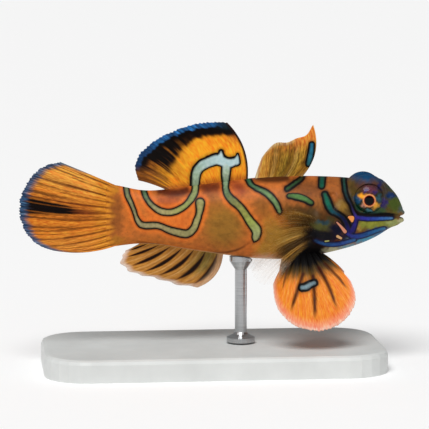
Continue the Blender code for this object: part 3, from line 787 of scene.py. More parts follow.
# Painted resin under a thin satin lacquer: even colour with fine mottles, and a faint wet gloss
skinLook = {
    "mottle": 0.45,  # mm
    "mottleTones": ((0.3, "#84746a"), (0.5, "#bcbcbc"), (0.7, "#e2d8c8")),
    "mottleShare": 0.4,
    "speck": 0.14,  # mm
    "speckTone": "#3a2410",
    "speckShare": 0.38,
    "lineShade": 0.5,
    "spotRim": "#120a14",
    "grain": 0.2,  # mm
    "bump": 0.3,
    "bumpDepth": 0.04,  # mm
    "glow": "#de7128",
    "underside": "#d2a878",
    "finish": {
        "Roughness": 0.55, "IOR": 1.45, "Specular IOR Level": 0.1, "Coat Weight": 0.04, "Coat Roughness": 0.2,
        "Subsurface Weight": 0.04, "Subsurface Radius": (1.0, 0.45, 0.2), "Subsurface Scale": 0.3 * mm,
    },
}


def attribute(tree, name, output="Fac"):
    return addNode(tree, "ShaderNodeAttribute", {"attribute_name": name}).outputs[output]


def noiseOf(tree, size, detail=3.0, vector=None):
    scale = 1 / size if vector else 1 / (2 * size * mm)
    vector = vector or addNode(tree, "ShaderNodeTexCoord").outputs["Object"]
    settings = {"Scale": scale, "Detail": detail, "Roughness": 0.55}
    return addNode(tree, "ShaderNodeTexNoise", Vector=vector, **settings).outputs["Fac"]


def mathOf(tree, operation, first, second=0.0, third=0.0):
    return addNode(tree, "ShaderNodeMath", {"operation": operation}, _0=first, _1=second, _2=third).outputs[0]


def stretch(tree, vector, scales):
    return addNode(tree, "ShaderNodeVectorMath", {"operation": "MULTIPLY"}, _0=vector, _1=scales).outputs[0]


# depth in mm
def addBump(tree, shader, height, strength, depth):
    bump = addNode(tree, "ShaderNodeBump", Strength=strength, Distance=depth * mm, Height=height)
    tree.links.new(bump.outputs[0], shader.inputs["Normal"])


# A value from low to high, as 0 to 1
def spanOf(tree, value, low, high):
    settings = {"interpolation_type": "SMOOTHSTEP"}
    return addNode(tree, "ShaderNodeMapRange", settings, _0=value, _1=low, _2=high).outputs[0]


# The outlined lines' edges begin and end at these places, in outline widths from the core's edge
lineLook = {
    "wavers": ((0.4, 3, 0.5), (1.5, 2, 0.9)),  # size in mm, detail and how much
    "grain": 0.3,  # mm
    "grainTones": ((0.3, "#6e6e6e"), (0.7, "#c8c8c8")),
    "rim": (-0.7, 0.0),
    "rimTone": "#201a08",
    "inkBegins": (-0.05, 0.25),
    "inkEnds": (0.75, 1.3),
    "shade": (1.0, 2.4),
    "shadeTone": "#240c04",
}


# The outlined lines over a ground colour: core with a dull rim, outline, and a brown shade beyond it
def drawnLines(tree, ground, shade):
    reach = attribute(tree, "lineReach")
    for size, detail, much in lineLook["wavers"]:
        shift = mathOf(tree, "MULTIPLY_ADD", noiseOf(tree, size, detail), much, -much / 2)
        reach = mathOf(tree, "ADD", reach, shift)
    core = attribute(tree, "lineColour", "Color")
    grain = rampOf(tree, noiseOf(tree, lineLook["grain"]), lineLook["grainTones"])
    core = mixColours(tree, 0.5, core, grain, "OVERLAY")
    rim = mixColours(tree, 0.6, core, lineLook["rimTone"])
    core = mixColours(tree, spanOf(tree, reach, *lineLook["rim"]), core, rim)
    shaded = mixColours(tree, shade, ground, lineLook["shadeTone"])
    beyond = mixColours(tree, spanOf(tree, reach, *lineLook["shade"]), shaded, ground)
    ink = attribute(tree, "lineInk", "Color")
    colour = mixColours(tree, spanOf(tree, reach, *lineLook["inkEnds"]), ink, beyond)
    return mixColours(tree, spanOf(tree, reach, *lineLook["inkBegins"]), core, colour)


def paintedSkin():
    material, tree, shader = newMaterial("lacqueredSkin", skinLook["finish"])
    ground = attribute(tree, "ground", "Color")
    mottle = rampOf(tree, noiseOf(tree, skinLook["mottle"], 4), skinLook["mottleTones"])
    ground = mixColours(tree, skinLook["mottleShare"], ground, mottle, "OVERLAY")
    specked = mixColours(tree, skinLook["speckShare"], ground, skinLook["speckTone"])
    speck = spanOf(tree, noiseOf(tree, skinLook["speck"], 2), 0.6, 0.78)
    colour = drawnLines(tree, mixColours(tree, speck, ground, specked), skinLook["lineShade"])
    spot = attribute(tree, "spotReach")
    colour = mixColours(tree, spanOf(tree, spot, 1.3, 0.5), colour, skinLook["spotRim"])
    colour = mixColours(tree, spanOf(tree, spot, 0.4, -0.3), colour, attribute(tree, "spotColour", "Color"))
    tree.links.new(colour, shader.inputs["Base Color"])
    addBump(tree, shader, noiseOf(tree, skinLook["grain"], 4), skinLook["bump"], skinLook["bumpDepth"])
    return material


# Eyes: an eyeball under a clear cornea, its iris painted round the pupil

eyePaint = {
    "pupil": (369.3, 200.6),  # photo pixels
    # place and reach, colour and strength, laid in this order
    "flares": {
        "flareRear": ((362.8, 196.6), (4.2, 3.8), "#f0a42c", 1.0),
        "flareFront": ((376, 205.8), (4.0, 3.4), "#e8a834", 1.0),
        "pinkLow": ((364.2, 205.6), (2.6, 2.2), "#c88a74", 0.9),
    },
    "ground": "#2c2a1c",
    "ring": "#e59a5e",
    "ringEnd": 6.6,  # photo pixels from the pupil's middle
    "rimOfPupil": "#6e1404",
    "pupilColour": "#020102",
    "rimShade": "#0a0908",
    "finish": {
        "Roughness": 0.4, "IOR": 1.45, "Specular IOR Level": 0.0, "Coat Weight": 0.25, "Coat Roughness": 0.02,
    },
}


def paintEye(piece):
    places = photoPlace(pointsOf(piece))
    colour = paintPatches(places, paintPatches(places, eyePaint["ground"], eyePatches), eyePaint["flares"])
    fromPupil = np.linalg.norm(places - eyePaint["pupil"], axis=1)
    centre = photoPlace([np.array(eye["at"]) - (0, eye["radii"][1], 0)])[0]
    fromMiddle = np.linalg.norm(places - centre, axis=1) * photo["pixel"] - eye["seen"]
    ringEnd = eyePaint["ringEnd"]
    setColour(piece, "iris", layered(colour, (
        (eyePaint["ring"], ease(fromPupil, ringEnd + 0.7, ringEnd - 0.7)),
        (eyePaint["rimShade"], ease(fromMiddle, -0.3, 0.1) * 0.2),
    )))
    setNumber(piece, "fromPupil", fromPupil)


# Glass eye, painted behind a clear polished dome, so that it gives small sharp highlights
def glassEye():
    material, tree, shader = newMaterial("glassEye", eyePaint["finish"])
    reach = attribute(tree, "fromPupil")
    grain = rampOf(tree, noiseOf(tree, 0.2, 4), ((0.3, "#5c5c5c"), (0.7, "#d2d2d2")))
    colour = mixColours(tree, 0.5, attribute(tree, "iris", "Color"), grain, "OVERLAY")
    colour = mixColours(tree, spanOf(tree, reach, 5.6, 5.0), colour, eyePaint["rimOfPupil"])
    colour = mixColours(tree, spanOf(tree, reach, 5.0, 4.2), colour, eyePaint["pupilColour"])
    tree.links.new(colour, shader.inputs["Base Color"])
    return material


def makeEye(side, material):
    # the sphere's pole looks outward, so the finest rings are on the pupil
    points, faces = unitSphere(128, 72)
    points = points[:, [0, 2, 1]] * (1, side, 1) * eye["radii"] + np.array(eye["at"]) * (1, side, 1)
    piece = makeMesh("rightEye" if side < 0 else "leftEye", points, faces, material)
    turnFacesOut(piece)
    paintEye(piece)
    return piece


# Fins. root and margin are curves from the first ray to the last one, and branchAt is where the rays fork.
# bow is how far the first and the last ray bend forward. sway is how far the margin weaves sideways, how
# often and from where. lean draws the rays' tips toward the last one. fringe is how deep the scallops between
# the rays are, how many branch tips each gap has, how deep their notches and how uneven their lengths are.
fins = {
    "firstDorsalFin": {
        "node": "first_dorsal_fin",
        "root": ((16.4, 0, 6.5), (7.8, 0, 6.3)),
        "margin": ((18.4, 0, 15.9), (16.0, 0, 13.7), (13.1, 0, 13.0), (10.8, 0, 12.3), (9.0, 0, 10.0)),
        "rays": 4, "branchAt": None, "bow": (0.3, -0.04), "sway": (0.25, 0.7, 0.1),
        "fringe": (0.05, 1, 0.0, 0.0), "columns": 150,
    },
    "secondDorsalFin": {
        "node": "second_dorsal_fin",
        "root": ((6.4, 0, 6.2), (-8.8, 0, 4.5)),
        "margin": ((2.5, 0, 16.6), (-2.3, 0, 16.5), (-7.8, 0, 14.9), (-12.1, 0, 12.4), (-14.2, 0, 8.6),
                   (-13.5, 0, 6.1)),
        "rays": 9, "branchAt": 0.5, "bow": (0.24, 0.06), "sway": (0.6, 1.1, 0.0),
        "fringe": (0.01, 4, 0.018, 0.02), "columns": 256,
    },
    "caudalFin": {
        "node": "caudal_fin",
        "root": ((-17.6, 0, 5.25), (-17.9, 0, -0.4), (-17.6, 0, -5.7)),
        "margin": ((-27.7, 0, 9.6), (-30.8, 0, 8.7), (-33.1, 0, 6.7), (-34.7, 0, 3.9), (-35.15, 0, 0.6),
                   (-34.4, 0, -2.4), (-32.3, 0, -5.0), (-29.6, 0, -6.2), (-26.6, 0, -6.6)),
        "rays": 13, "branchAt": 0.35, "bow": (0.01, -0.13), "sway": (0.9, 0.6, 0.15),
        "fringe": (0.004, 4, 0.016, 0.016), "columns": 288,
    },
    "analFin": {
        "node": "anal_fin",
        "root": ((1.9, 0, -7.5), (-5.9, 0, -6.2), (-13.0, 0, -5.3)),
        "margin": ((-2.7, 0, -13.7), (-6.3, 0, -13.2), (-11.4, 0, -11.6), (-15.8, 0, -10.1),
                   (-16.9, 0, -8.7), (-15.9, 0, -6.8)),
        "rays": 8, "branchAt": None, "bow": (0.32, 0.0), "sway": (0.5, 0.9, 0.2),
        "fringe": (0.05, 1, 0.0, 0.0), "columns": 154, "lean": 1.6,
    },
    "pelvicFin": {
        "node": "pelvic_fin",
        "root": ((19.0, 3.1, -7.2), (16.6, 3.6, -7.3), (13.9, 3.4, -7.4)),
        "margin": ((24.5, 6.4, -12.0), (25.2, 7.8, -15.0), (23.0, 9.2, -18.6), (18.6, 9.9, -20.4),
                   (13.4, 9.5, -19.2), (10.6, 8.2, -15.8), (10.2, 7.0, -12.4)),
        "rays": 7, "branchAt": 0.4, "bow": (0.1, -0.1), "sway": (0.5, 0.5, 0.0),
        "fringe": (0.006, 6, 0.014, 0.016), "columns": 240,
    },
    "pectoralFin": {
        "node": "pectoral_fin",
        "root": ((17.5, 5.9, 0.0), (17.6, 6.1, -2.3), (18.0, 5.7, -4.7)),
        "margin": ((11.8, 7.6, 1.6), (8.7, 8.5, -0.6), (6.7, 9.1, -4.2), (5.9, 9.3, -8.0),
                   (7.2, 9.0, -11.5), (10.8, 8.0, -12.1)),
        "rays": 24, "branchAt": None, "bow": (0.1, 0.14), "sway": (0.3, 1.0, 0.0),
        "fringe": (0.02, 1, 0.0, 0.0), "columns": 230,
    },
}
leftPelvic = {"swing": 1.5, "fold": 0.84}
finForm = {"rows": 84, "membrane": 0.07, "ray": 0.19, "sunk": 1.2, "foot": 0.3, "footReach": 0.09}


def finSurface(spec, share, length):
    rootCurve, tipCurve = smoothCurve(spec["root"], 200), smoothCurve(spec["margin"], 200)

    def along(curve, at):
        place = np.clip(at, 0, 1) * (len(curve) - 1)
        return np.stack([np.interp(place, np.arange(len(curve)), curve[:, k]) for k in range(3)], axis=-1)

    root, tip = along(rootCurve, share), along(tipCurve, 1 - (1 - share) ** spec.get("lean", 1))
    chord = tip - root
    span = np.linalg.norm(chord, axis=-1, keepdims=True)
    ahead = rootCurve[0] - rootCurve[-1]
    ahead = ahead - chord * (chord @ ahead)[..., None] / span**2
    ahead *= span / np.linalg.norm(ahead, axis=-1, keepdims=True)
    bow = spec["bow"][0] * (1 - share) + spec["bow"][1] * share
    bend = root + chord / 2 + ahead * bow[..., None]
    out = np.maximum(length, 0)[..., None]
    points = root * (1 - out) ** 2 + 2 * bend * out * (1 - out) + tip * out**2
    into = (bend - root) / np.linalg.norm(bend - root, axis=-1, keepdims=True)
    points += into * np.minimum(length, 0)[..., None] * finForm["sunk"]
    far, waves, start = spec["sway"]
    points[..., 1] += far * out[..., 0] ** 1.5 * np.sin(2 * math.pi * (share * waves + start))
    return points, span[..., 0]


# How far each column is from its nearest ray or branch, 0 on it and 1 midway between rays
def rayDistance(spec, place, level):
    fromRay = np.abs(place - np.round(place)) * 2
    if not spec["branchAt"]:
        return fromRay
    apart = 0.48 * smoothStep((level - spec["branchAt"]) / 0.3)
    return np.abs(fromRay - apart) / np.maximum(1 - apart, apart + 0.2)


# How much shorter than the margin's curve each column is
def fringeOf(spec, place, level):
    broad, often, notch, uneven = spec["fringe"]
    short = broad * (0.5 - 0.5 * np.cos(2 * math.pi * place))
    rng = np.random.default_rng(spec["rays"])
    tips = int(round(place.max() * often))
    depth, length = rng.uniform(0.2, 1.0, tips + 1), rng.uniform(0, 1, tips + 1)
    tooth = place * often
    between = 0.5 - 0.5 * np.cos(2 * math.pi * tooth)
    nearTip = ease(level, 0.8, 1.0)
    short = short + notch * between * depth[np.minimum(tooth.astype(int), tips)] * nearTip
    return short + uneven * np.interp(tooth, np.arange(tips + 1), length) * nearTip


def makeFin(name, spec, material, side=1):
    rays = spec["rays"]
    columns = spec["columns"] // (rays - 1) * (rays - 1) + 1
    levels = np.concatenate([[-1.0, -0.5], np.linspace(0, 1, finForm["rows"])])
    place, level = np.meshgrid(np.linspace(0, rays - 1, columns), levels)
    share = place / (rays - 1)
    length = np.where(level > 0, level * (1 - fringeOf(spec, place, level)), level)
    middle, span = finSurface(spec, share, length)
    small = 0.01  # a step out and along, for the surface's slopes
    out = np.clip(length, 0.05, 1 - small)
    along = finSurface(spec, share, out + small)[0] - finSurface(spec, share, out)[0]
    back = np.minimum(share, 1 - small)
    across = finSurface(spec, back + small, length)[0] - finSurface(spec, back, length)[0]
    for grid in (middle, along, across):
        grid[..., 1] *= side
    normal = np.cross(along, across)
    normal /= np.linalg.norm(normal, axis=2, keepdims=True)
    near = rayDistance(spec, place, level)
    ridge = np.exp(-(near / 0.3) ** 2)
    taper = 1 - 0.6 * np.clip(level, 0, 1)
    half = finForm["membrane"] + (finForm["ray"] * taper - finForm["membrane"]) * ridge
    half += finForm["foot"] * np.exp(-np.clip(level, 0, 1) / finForm["footReach"])
    half[-1] = 0.03
    points = np.concatenate([(middle + normal * half[..., None]).reshape(-1, 3),
                             (middle - normal * half[..., None]).reshape(-1, 3)])
    rows = len(levels)
    front = ringFaces(rows, columns, wrap=False)
    faces = front + [[i + rows * columns for i in face[::-1]] for face in front]
    rim = list(range(columns)) + [r * columns + columns - 1 for r in range(1, rows)]
    rim += [(rows - 1) * columns + c for c in range(columns - 2, -1, -1)]
    rim += [r * columns for r in range(rows - 2, 0, -1)]
    for here, there in zip(rim, [*rim[1:], rim[0]]):
        faces.append([here, there, there + rows * columns, here + rows * columns])
    piece = makeMesh(name, points, faces, material)
    turnFacesOut(piece)

    def both(values):
        return np.tile(values.ravel(), 2)

    fields = {
        "out": both(np.clip(length, 0, 1)),
        "share": both(share),
        "ray": both(near),
        "margin": both((1 - level) * span),
        "fromRoot": both(np.clip(length, 0, 1) * span),
    }
    # the fin's own plane, in mm: across the rays and out along them
    layer = piece.data.uv_layers.new(name="finPlane")
    width = np.linalg.norm(np.diff(smoothCurve(spec["margin"], 50), axis=0), axis=1).sum() * 0.7
    plane = np.stack([both(share) * width, fields["fromRoot"]], axis=1)
    corners = np.empty(len(piece.data.loops), dtype=np.int32)
    piece.data.loops.foreach_get("vertex_index", corners)
    layer.data.foreach_set("uv", plane[corners].ravel().astype(np.float32))
    fields["places"] = photoPlace(pointsOf(piece))
    return piece, fields


# A random value in each narrow streak along the rays, smooth across neighbouring streaks
def streaks(share, often, seed):
    rng = np.random.default_rng(seed)
    values = rng.random(often + 3)
    place = share * often
    low = place.astype(int)
    blend = smoothStep(place - low)
    return values[low] * (1 - blend) + values[low + 1] * blend


# Outlined marks on the fins, in photo pixels as those of the skin
finStrokes = {
    "secondDorsalFin": {
        "arch": {
            "at": ((195.6, 192), (195.7, 178), (196.6, 172.5), (200, 167.5), (205.5, 163.7), (211.5, 161.2),
                (217.5, 160), (222.5, 161.5), (227, 163), (232, 162.8), (236, 161)),
            "half": (2.2, 3.3, 3.7, 3.9, 4.1, 4.5, 4.6, 4.2, 3.4), "edge": (2.5, 1.5),
            "colours": ("#6f8450", "#b0c4aa", "#c0d4d0", "#c9dfe0", "#c9dfe0")},
        "frontPeak": {
            "at": ((219.6, 159), (220.9, 155.4), (221.2, 152.2)),
            "half": (4.6, 2.6, 0.4), "edge": 2.5,
            "colours": ("#c9dfe0", "#cfe2e2")},
        "rearPeak": {
            "at": ((236, 161.5), (237.2, 157.6), (237.6, 154.6)),
            "half": (3.8, 2.3, 0.5), "edge": 1.7,
            "colours": ("#c9dfe0", "#cfe2e2")},
        "branch": {
            "at": ((226.4, 164), (226, 172), (225.6, 180), (225.6, 192)),
            "half": (4.0, 3.4, 2.5, 2.2), "edge": 1.9,
            "colours": ("#c9dcd8", "#bccbb2", "#6f8c66", "#5c7048")},
    },
    "firstDorsalFin": {
        "bar": {
            "at": ((312, 144.5), (310.8, 154), (308.4, 164)),
            "half": (1.7, 2.1, 1.8), "edge": 1.7,
            "colours": ("#2f84a8", "#2f7c98", "#2f7078")},
    },
    "caudalFin": {},
    "analFin": {},
    "pectoralFin": {},
    "pelvicFin": {
        "bar": {
            "at": ((302, 287.6), (305.5, 287), (310, 284.6), (314.2, 283)),
            "half": (1.8, 2.1, 1.9, 1.9), "edge": 2.6,
            "colours": ("#7d98a4", "#8aa3ac", "#7f98a0")},
    },
}
# Painted shadows of the pelvic fin's rays: dark streaks along the fin, with where they run, how wide they are
# and how dark
pelvicRayShadows = {
    "front": {"at": ((325, 264), (337, 276), (349, 291)), "half": (3.2, 2.4, 1.2), "dark": 0.8},
    "second": {"at": ((319, 268), (328, 285), (338, 312)), "half": (4.2, 3.4, 1.6), "dark": 0.92},
    "third": {"at": ((313, 276), (314.4, 294), (315, 322)), "half": (3.0, 3.8, 2.0), "dark": 0.94},
    "fourth": {"at": ((303, 274), (297, 292), (290, 314)), "half": (3.0, 3.4, 1.6), "dark": 0.92},
    "rear": {"at": ((289, 262), (285.5, 276), (282, 292)), "half": (2.0, 1.8, 1.0), "dark": 0.65},
}


bellyLine = (250, 262)  # how far down the photo the clear pectoral leaves the flank


# Each fin's colours, laid over one another in turn. A fin's paint names the fields that it needs: out and
# share run from 0 to 1 outward and from the first ray to the last, ray is 0 on a ray and 1 between two, and
# margin and fromRoot are distances in mm.
def paintSecondDorsal(places, out, share, margin, fromRoot, **others):
    across, down = places.T
    fine, rough, broad = (streaks(share, often, often) for often in (110, 46, 17))
    rear = ease(across, 200, 155)
    low = ease(down, 164, 176) * ease(across, 176, 162)
    # the dark band, broad and blotchy behind, and fraying out along the rays
    band = 2.3 + 2.3 * rear + 1.5 * broad * rear + 0.4 * rough
    dark = 1 - smoothStep((margin - band) / (1.3 + 2.2 * rear))
    dark = dark * (1 - 0.45 * ease(margin, 2.6, 4.4) * ease(fine, 0.5, 0.9))
    dark = dark * (1 - 0.6 * rear * ease(margin, 1.4, 2.9) * ease(rough, 0.5, 0.2))
    blue = (1 - smoothStep((margin - 0.55 - 0.6 * rough) / 0.5)) * ease(down, 172, 162)
    blue = blue * (1 - 0.75 * ease(across, 211, 220))
    bright = 1 - 0.8 * ease(fine, 0.45, 0.7)
    return layered("#f59a24", (
        ("#ffb02a", bell(out, 0.4, 0.25) * 0.7),
        ("#c4682a", ease(across, 222, 234) * ease(out, 0.5, 0.75) * 0.8),
        # painted shade where the fin's root meets the back
        ("#b05c1c", ease(fromRoot, 1.3, 0.1) * 0.8),
        ("#7c4418", rear * ease(rough, 0.15, 0.65) * 0.6),
        ("#9c5222", rear * ease(margin, 6, 3) * 0.65),
        ("#3a1608", dark * 0.9 * (1 - 0.6 * low)),
        ("#0b0402", ease(dark, 0, 0.85) * dark * (1 - 0.7 * low)),
        ("#8a5424", low * ease(fine, 0.3, 0.7) * 0.7),
        ("#1c3c68", blue * 0.9),
        ("#2f74b4", blue * bright * (0.15 + 0.8 * ease(across, 148, 164))),
        ("#182c34", bell(across, 227, 8) * ease(margin, 2.2, 1.0) * 0.9),
        ("#2a1410", ease(share, 0.032, 0.012)),
    ))


def paintFirstDorsal(places, out, share, ray, margin, **others):
    across, down = places.T
    fine, broad = streaks(share, 60, 12), streaks(share, 13, 13)
    tip = ease(down, 152, 138) * ease(across, 286, 300)
    return layered("#c88f34", (
        ("#7c7024", bell(share, 0.4, 0.22) * ease(out, 0.9, 0.5) * 0.75),
        ("#70480f", ease(broad, 0.45, 0.75) * ease(out, 1.05, 0.75) * 0.6),
        ("#7a5014", ease(fine, 0.55, 0.85) * 0.5),
        ("#dcae5c", ease(ray, 0.35, 0.05) * 0.4),
        ("#b4602c", bell(out, 0.85, 0.15) * ease(fine, 0.3, 0.7) * 0.5),
        ("#ee9a40", tip * 0.9),
        ("#e8a848", ease(share, 0.66, 0.91) * 0.75),
        ("#e8cfa4", ease(share, 0.9, 1) * 0.8),
        ("#dcc090", ease(margin, 0.8, 0) * 0.75 * (1 - tip)),
    ))


def paintCaudal(places, out, share, ray, margin, **others):
    across, down = places.T
    fine, rough, broad = (streaks(share, often, often) for often in (150, 64, 23))
    # the black streak and the red round it run back along the fin's middle
    fromEnd = across - photo["tailEnd"]
    fromMiddle = down - 205.2 - fromEnd * 0.12
    streak = bell(fromMiddle, 0, np.maximum(10 - fromEnd * 0.11, 2.5))
    black = ease(streak, 0.25, 0.75) * ease(across, 90, 60) * (0.52 + 0.48 * ease(rough, 0.1, 0.4))
    red = bell(fromMiddle, 0, 7.5) * ease(across, 112, 82) * (0.5 + 0.5 * ease(rough, 0.2, 0.5))
    # the blue-grey margin frays inward in dark streaks
    ends = ease(share, 0.985, 0.885)
    frayed = (1 - smoothStep((margin - 0.9) / (1.0 + 1.6 * rough))) * ease(fine, 0.4, 0.75)
    blue = (1 - smoothStep((margin - 0.3 - 0.5 * rough) / 1.5)) * ends
    blue = blue * (1 - 0.5 * ease(margin, 0.5, 1.1) * ease(fine, 0.4, 0.6))
    return layered("#dc8228", (
        ("#f5a844", ease(np.abs(share - 0.5), 0.075, 0.325) * (0.35 + 0.65 * ease(share, 0.5, 0.1))),
        ("#a8692c", ease(broad, 0.5, 0.8) * ease(across, 98, 68) * 0.5),
        ("#dc8e28", ease(across, 88, 104) * 0.8),
        # dark lines between the rays, and fainter ones between their branches
        ("#5a240a", ease(ray, 0.58, 0.88) * (0.5 + 0.45 * broad)),
        ("#3c1608", ease(rough, 0.6, 0.85) * ease(out, 0.3, 0.6) * 0.65),
        ("#6a2412", red * 0.8),
        ("#0c0302", black * 1.35),
        ("#2c2a34", frayed * ends * 0.8),
        ("#34587e", blue * 0.9),
        ("#16233c", blue * ease(fine, 0.5, 0.8) * 0.7),
        ("#7ba0bc", blue * ease(fine, 0.3, 0.1) * 0.5),
        ("#5f7484", ease(share, 0.035, 0) * ease(out, 0.4, 0.7) * 0.8),
        ("#1c3a5c", ease(margin, 0.3, 0) * 0.4),
    ))


def paintAnal(out, share, ray, margin, **others):
    # dark spindles lie between the rays, blacker inside
    swollen = np.sin(math.pi * np.clip(out + 0.08, 0, 1))
    bars = smoothStep((ray - 0.95 + 0.5 * swollen) / 0.3) * ease(out, 0.93, 0.78)
    inner = smoothStep((ray - 1.0 + 0.42 * swollen) / 0.22) * ease(out, 0.86, 0.66)
    return layered("#c88a3e", (
        ("#dca866", ease(ray, 0.27, 0.02) * 0.6),
        ("#a86c28", ease(streaks(share, 60, 6), 0.4, 0.8) * 0.5),
        ("#6c6c34", bell(share, 0.17, 0.13) * ease(out, 0.7, 0.3) * 0.7),
        ("#6a3410", bars * 0.9),
        ("#100604", inner * 0.97),
        ("#e2cbbb", ease(margin, 1.4, 0.1)),
        ("#d6ad88", ease(share, 0.09, 0.02) * 0.8),
    ))


def paintPelvic(places, share, margin, fromRoot, **others):
    fine = streaks(share, 90, 4)
    root = fromRoot - 0.9 * streaks(share, 30, 5) - 0.5 * fine
    layers = [
        ("#f59a4a", ease(fine, 0.5, 0.9) * 0.5),
        ("#f3a084", ease(margin, 2.6, 0.4) * 0.85),
        ("#f2cdb8", ease(margin, 0.9, 0.1) * 0.7),
        ("#8a5a20", ease(root, 5.4, 2.8)),
        ("#4c3814", ease(root, 3.8, 2.2)),
        ("#050304", ease(root, 2.6, 1.0)),
    ]
    # the painted shadows of the rays
    for stroke in pelvicRayShadows.values():
        gap, along = nearestOn(places, stroke["at"])[:2]
        solid = 1 - smoothStep((gap - 0.2) / alongLine(along, stroke["half"]))
        layers.append(("#3c1006", solid * stroke["dark"] * ease(along, 1, 0.7)))
    return layered("#ee8a28", layers)


def paintPectoral(places, out, share, fromRoot, **others):
    fine, broad = streaks(share, 70, 8), streaks(share, 19, 9)
    inner = ease(out, 0.8, 0.4)
    return layered("#b87a30", (
        ("#e9dcd0", ease(places[:, 1], *bellyLine) * ease(out, 0.45, 0.7)),
        ("#a87a30", inner),
        ("#3c280c", ease(broad, 0.5, 0.7) * 0.85 * inner),
        ("#e0b45c", ease(fine, 0.62, 0.82) * 0.7 * inner),
        ("#140e08", ease(fromRoot, 3.4, 0.8) * (0.3 + 0.7 * ease(share, 0.3, 0.6))),
    ))


# How solid the clear pectoral is: its rays more than the film between them, and both fading outward
def pectoralSolid(places, out, share, ray, **others):
    fine, broad = streaks(share, 46, 10), streaks(share, 13, 11)
    near = ease(out, 0.85, 0.3)
    film = (0.03 + 0.12 * ease(places[:, 1], *bellyLine)) * (1 - 0.8 * ease(out, 0.8, 1))
    film = film + 0.28 * near * (0.2 + 0.8 * broad)
    rays = ease(ray, 0.9, 0.1) * (0.08 * fine + 0.5 * near * (0.2 + 0.8 * fine))
    ends = ease(share, 0, 0.14) * ease(share, 1, 0.86)
    return np.clip((film + rays) * (0.2 + 0.8 * ends) * ease(out, -0.06, 0.1), 0, 1)


# Fin membrane cast in tinted clear resin: thin, lets light through, glossy, streaked along its rays
def finMembrane(name, streak, see, clear=False):
    material, tree, shader = newMaterial(name, {"Roughness": 0.42, "IOR": 1.45, "Specular IOR Level": 0.12})
    plane = addNode(tree, "ShaderNodeUVMap", {"uv_map": "finPlane"}).outputs[0]
    stretched = stretch(tree, plane, (1.0, 0.12, 1.0))
    fine = noiseOf(tree, 0.14, 3, stretched)
    paint = attribute(tree, "paint", "Color")
    fineTones = rampOf(tree, fine, ((0.34, "#6a6058"), (0.5, "#bcbcbc"), (0.66, "#f4f4f4")))
    broadTones = rampOf(tree, noiseOf(tree, 0.6, 2, stretched), ((0.35, "#8a8482"), (0.65, "#e0e0e0")))
    paint = mixColours(tree, streak, paint, fineTones, "OVERLAY")
    paint = mixColours(tree, streak * 0.6, paint, broadTones, "OVERLAY")
    colour = drawnLines(tree, paint, 0.35)
    tree.links.new(colour, shader.inputs["Base Color"])
    addBump(tree, shader, fine, 0.3, 0.04)
    if clear:
        tree.links.new(attribute(tree, "solid"), shader.inputs["Alpha"])
    else:
        glow = addNode(tree, "ShaderNodeBsdfTranslucent", Color=colour)
        mixed = addNode(tree, "ShaderNodeMixShader", Fac=see, _1=shader.outputs[0], _2=glow.outputs[0])
        tree.links.new(mixed.outputs[0], tree.nodes["Material Output"].inputs["Surface"])
    return material


print("materials and skin")
skin = makeSkinForm()
movePoints(skin, openEyes(pointsOf(skin)))
print("skin faces", len(skin.data.polygons))
paintSkin(skin)
skin.data.materials.clear()
skin.data.materials.append(paintedSkin())
shadeSmooth(skin)
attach(skin, "root")
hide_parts("head", "trunk", "tail_peduncle")

print("eyes")
glass = glassEye()
for side, node in ((-1, "eye_right"), (1, "eye_left")):
    piece = makeEye(side, glass)
    shadeSmooth(piece)
    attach(piece, "root")
    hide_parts(node)

print("fins")
finLooks = {
    "firstDorsalFin": (finMembrane("goldenMembrane", 0.7, 0.3), paintFirstDorsal),
    "secondDorsalFin": (finMembrane("bandedMembrane", 0.55, 0.2), paintSecondDorsal),
    "caudalFin": (finMembrane("tailMembrane", 0.55, 0.2), paintCaudal),
    "analFin": (finMembrane("barredMembrane", 0.3, 0.2), paintAnal),
    "pelvicFin": (finMembrane("orangeMembrane", 0.45, 0.2), paintPelvic),
    "pectoralFin": (finMembrane("clearMembrane", 0.3, 0.0, clear=True), paintPectoral),
}
for name, spec in fins.items():
    paired = name in ("pelvicFin", "pectoralFin")
    material, paint = finLooks[name]
    for side in ((-1, 1) if paired else (1,)):
        form = dict(spec)
        if name == "pelvicFin" and side > 0:
            margin = np.array(spec["margin"], float)
            behind = margin[:, 0] - margin[0, 0]
            margin[:, 0] = margin[0, 0] + behind * leftPelvic["fold"] + leftPelvic["swing"] / 2
            form["margin"] = margin
        word = {-1: "Right", 1: "Left"}[side] if paired else ""
        piece, fields = makeFin(name + word, form, material, side)
        setColour(piece, "paint", paint(**fields))
        setLines(piece, fields["places"], finStrokes[name])
        if name == "pectoralFin":
            setNumber(piece, "solid", pectoralSolid(**fields))
        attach(piece, "root")
        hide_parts(spec["node"] + (f"_{word.lower()}" if word else ""))
        shadeSmooth(piece)


print("stand")


# Plate of pale satin acrylic; rod of brushed stainless steel
def satinPlate():
    material, tree, shader = newMaterial("satinAcrylic", {"Roughness": 0.35, "IOR": 1.49})
    cloud = rampOf(tree, noiseOf(tree, 4.0, 3), ((0.3, "#cccecc"), (0.7, "#d8dad8")))
    tree.links.new(cloud, shader.inputs["Base Color"])
    addBump(tree, shader, noiseOf(tree, 0.25, 3), 0.15, 0.02)
    return material


def brushedSteel():
    material, tree, shader = newMaterial("brushedSteel", {"Metallic": 1.0})
    drawn = stretch(tree, addNode(tree, "ShaderNodeTexCoord").outputs["Object"], (60.0, 60.0, 2500.0))
    lines = addNode(tree, "ShaderNodeTexNoise", Vector=drawn, Scale=4.0, Detail=2.0).outputs["Fac"]
    tree.links.new(rampOf(tree, lines, ((0.3, "#a9abad"), (0.7, "#c8c9ca"))), shader.inputs["Base Color"])
    tree.links.new(mathOf(tree, "MULTIPLY_ADD", lines, 0.2, 0.22), shader.inputs["Roughness"])
    return material


for node, made in (("stand_base", satinPlate()), ("stand_rod", brushedSteel())):
    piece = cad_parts[node]
    piece.data.materials.clear()
    piece.data.materials.append(made)


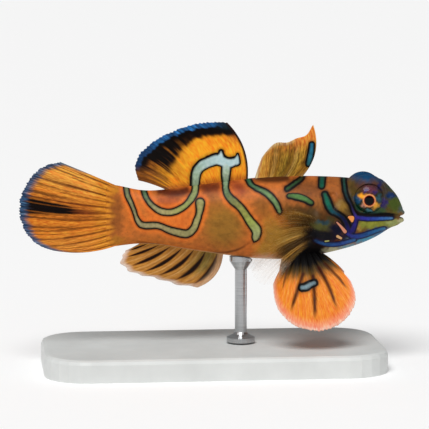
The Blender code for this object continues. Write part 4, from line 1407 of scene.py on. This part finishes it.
print("floor, light and camera")
stage = {
    "floor": "#fcfcfc",
    "reach": 6.0,  # m
    "sky": 0.25,
    "sun": {"energy": 2.7, "angle": math.radians(35)},
    "sunAt": (-0.1, -0.3, 0.5),
    "fill": {"energy": 0.05, "shape": "RECTANGLE", "size": 0.12, "size_y": 0.05},
    "fillAt": (-0.1, -0.3, 0.33),
}


def makeFloor():
    material = newMaterial("paleFloor", {
        "Base Color": (*fromHex(stage["floor"]), 1), "Roughness": 0.9, "Specular IOR Level": 0.1})[0]
    mesh = bpy.data.meshes.new("floor")
    corners = ((-1, -1), (1, -1), (1, 1), (-1, 1))
    mesh.from_pydata([(x * stage["reach"], y * stage["reach"], 0) for x, y in corners], [], [[0, 1, 2, 3]])
    mesh.materials.append(material)
    floor = bpy.data.objects.new("floor", mesh)
    bpy.context.collection.objects.link(floor)


def makeSky():
    world = bpy.data.worlds.new("studio")
    world.use_nodes = True
    inputs = world.node_tree.nodes["Background"].inputs
    inputs["Color"].default_value = (1, 1, 1, 1)
    inputs["Strength"].default_value = stage["sky"]
    bpy.context.scene.world = world


def makeLight(name, kind, place, settings):
    light = bpy.data.lights.new(name, kind)
    for key, value in settings.items():
        setattr(light, key, value)
    lamp = bpy.data.objects.new(name, light)
    bpy.context.collection.objects.link(lamp)
    lamp.location = place
    target = Vector((0, 0, axisHeight * mm))
    lamp.rotation_euler = (target - Vector(place)).to_track_quat("-Z", "Y").to_euler()


def makeCamera():
    half = photo["size"] / 2
    middle = np.array([half - photo["centre"][0], photo["centre"][1] - half]) * photo["pixel"]
    aim = viewRight * middle[0] + viewUp * middle[1] + (0, 0, axisHeight)
    camera = bpy.data.cameras.new("camera")
    camera.sensor_width = 36
    camera.lens = 36 * photo["distance"] / (photo["size"] * photo["pixel"])
    camera.clip_start = 0.01
    rig = bpy.data.objects.new("camera", camera)
    bpy.context.collection.objects.link(rig)
    turn = Matrix((viewRight, viewUp, -viewAhead)).transposed().to_4x4()
    turn.translation = (aim - viewAhead * photo["distance"]) * mm
    rig.matrix_world = turn
    bpy.context.scene.camera = rig


makeFloor()
makeSky()
makeLight("sun", "SUN", stage["sunAt"], stage["sun"])
makeLight("softbox", "AREA", stage["fillAt"], stage["fill"])
makeCamera()
bpy.context.scene.view_settings.view_transform = "Standard"
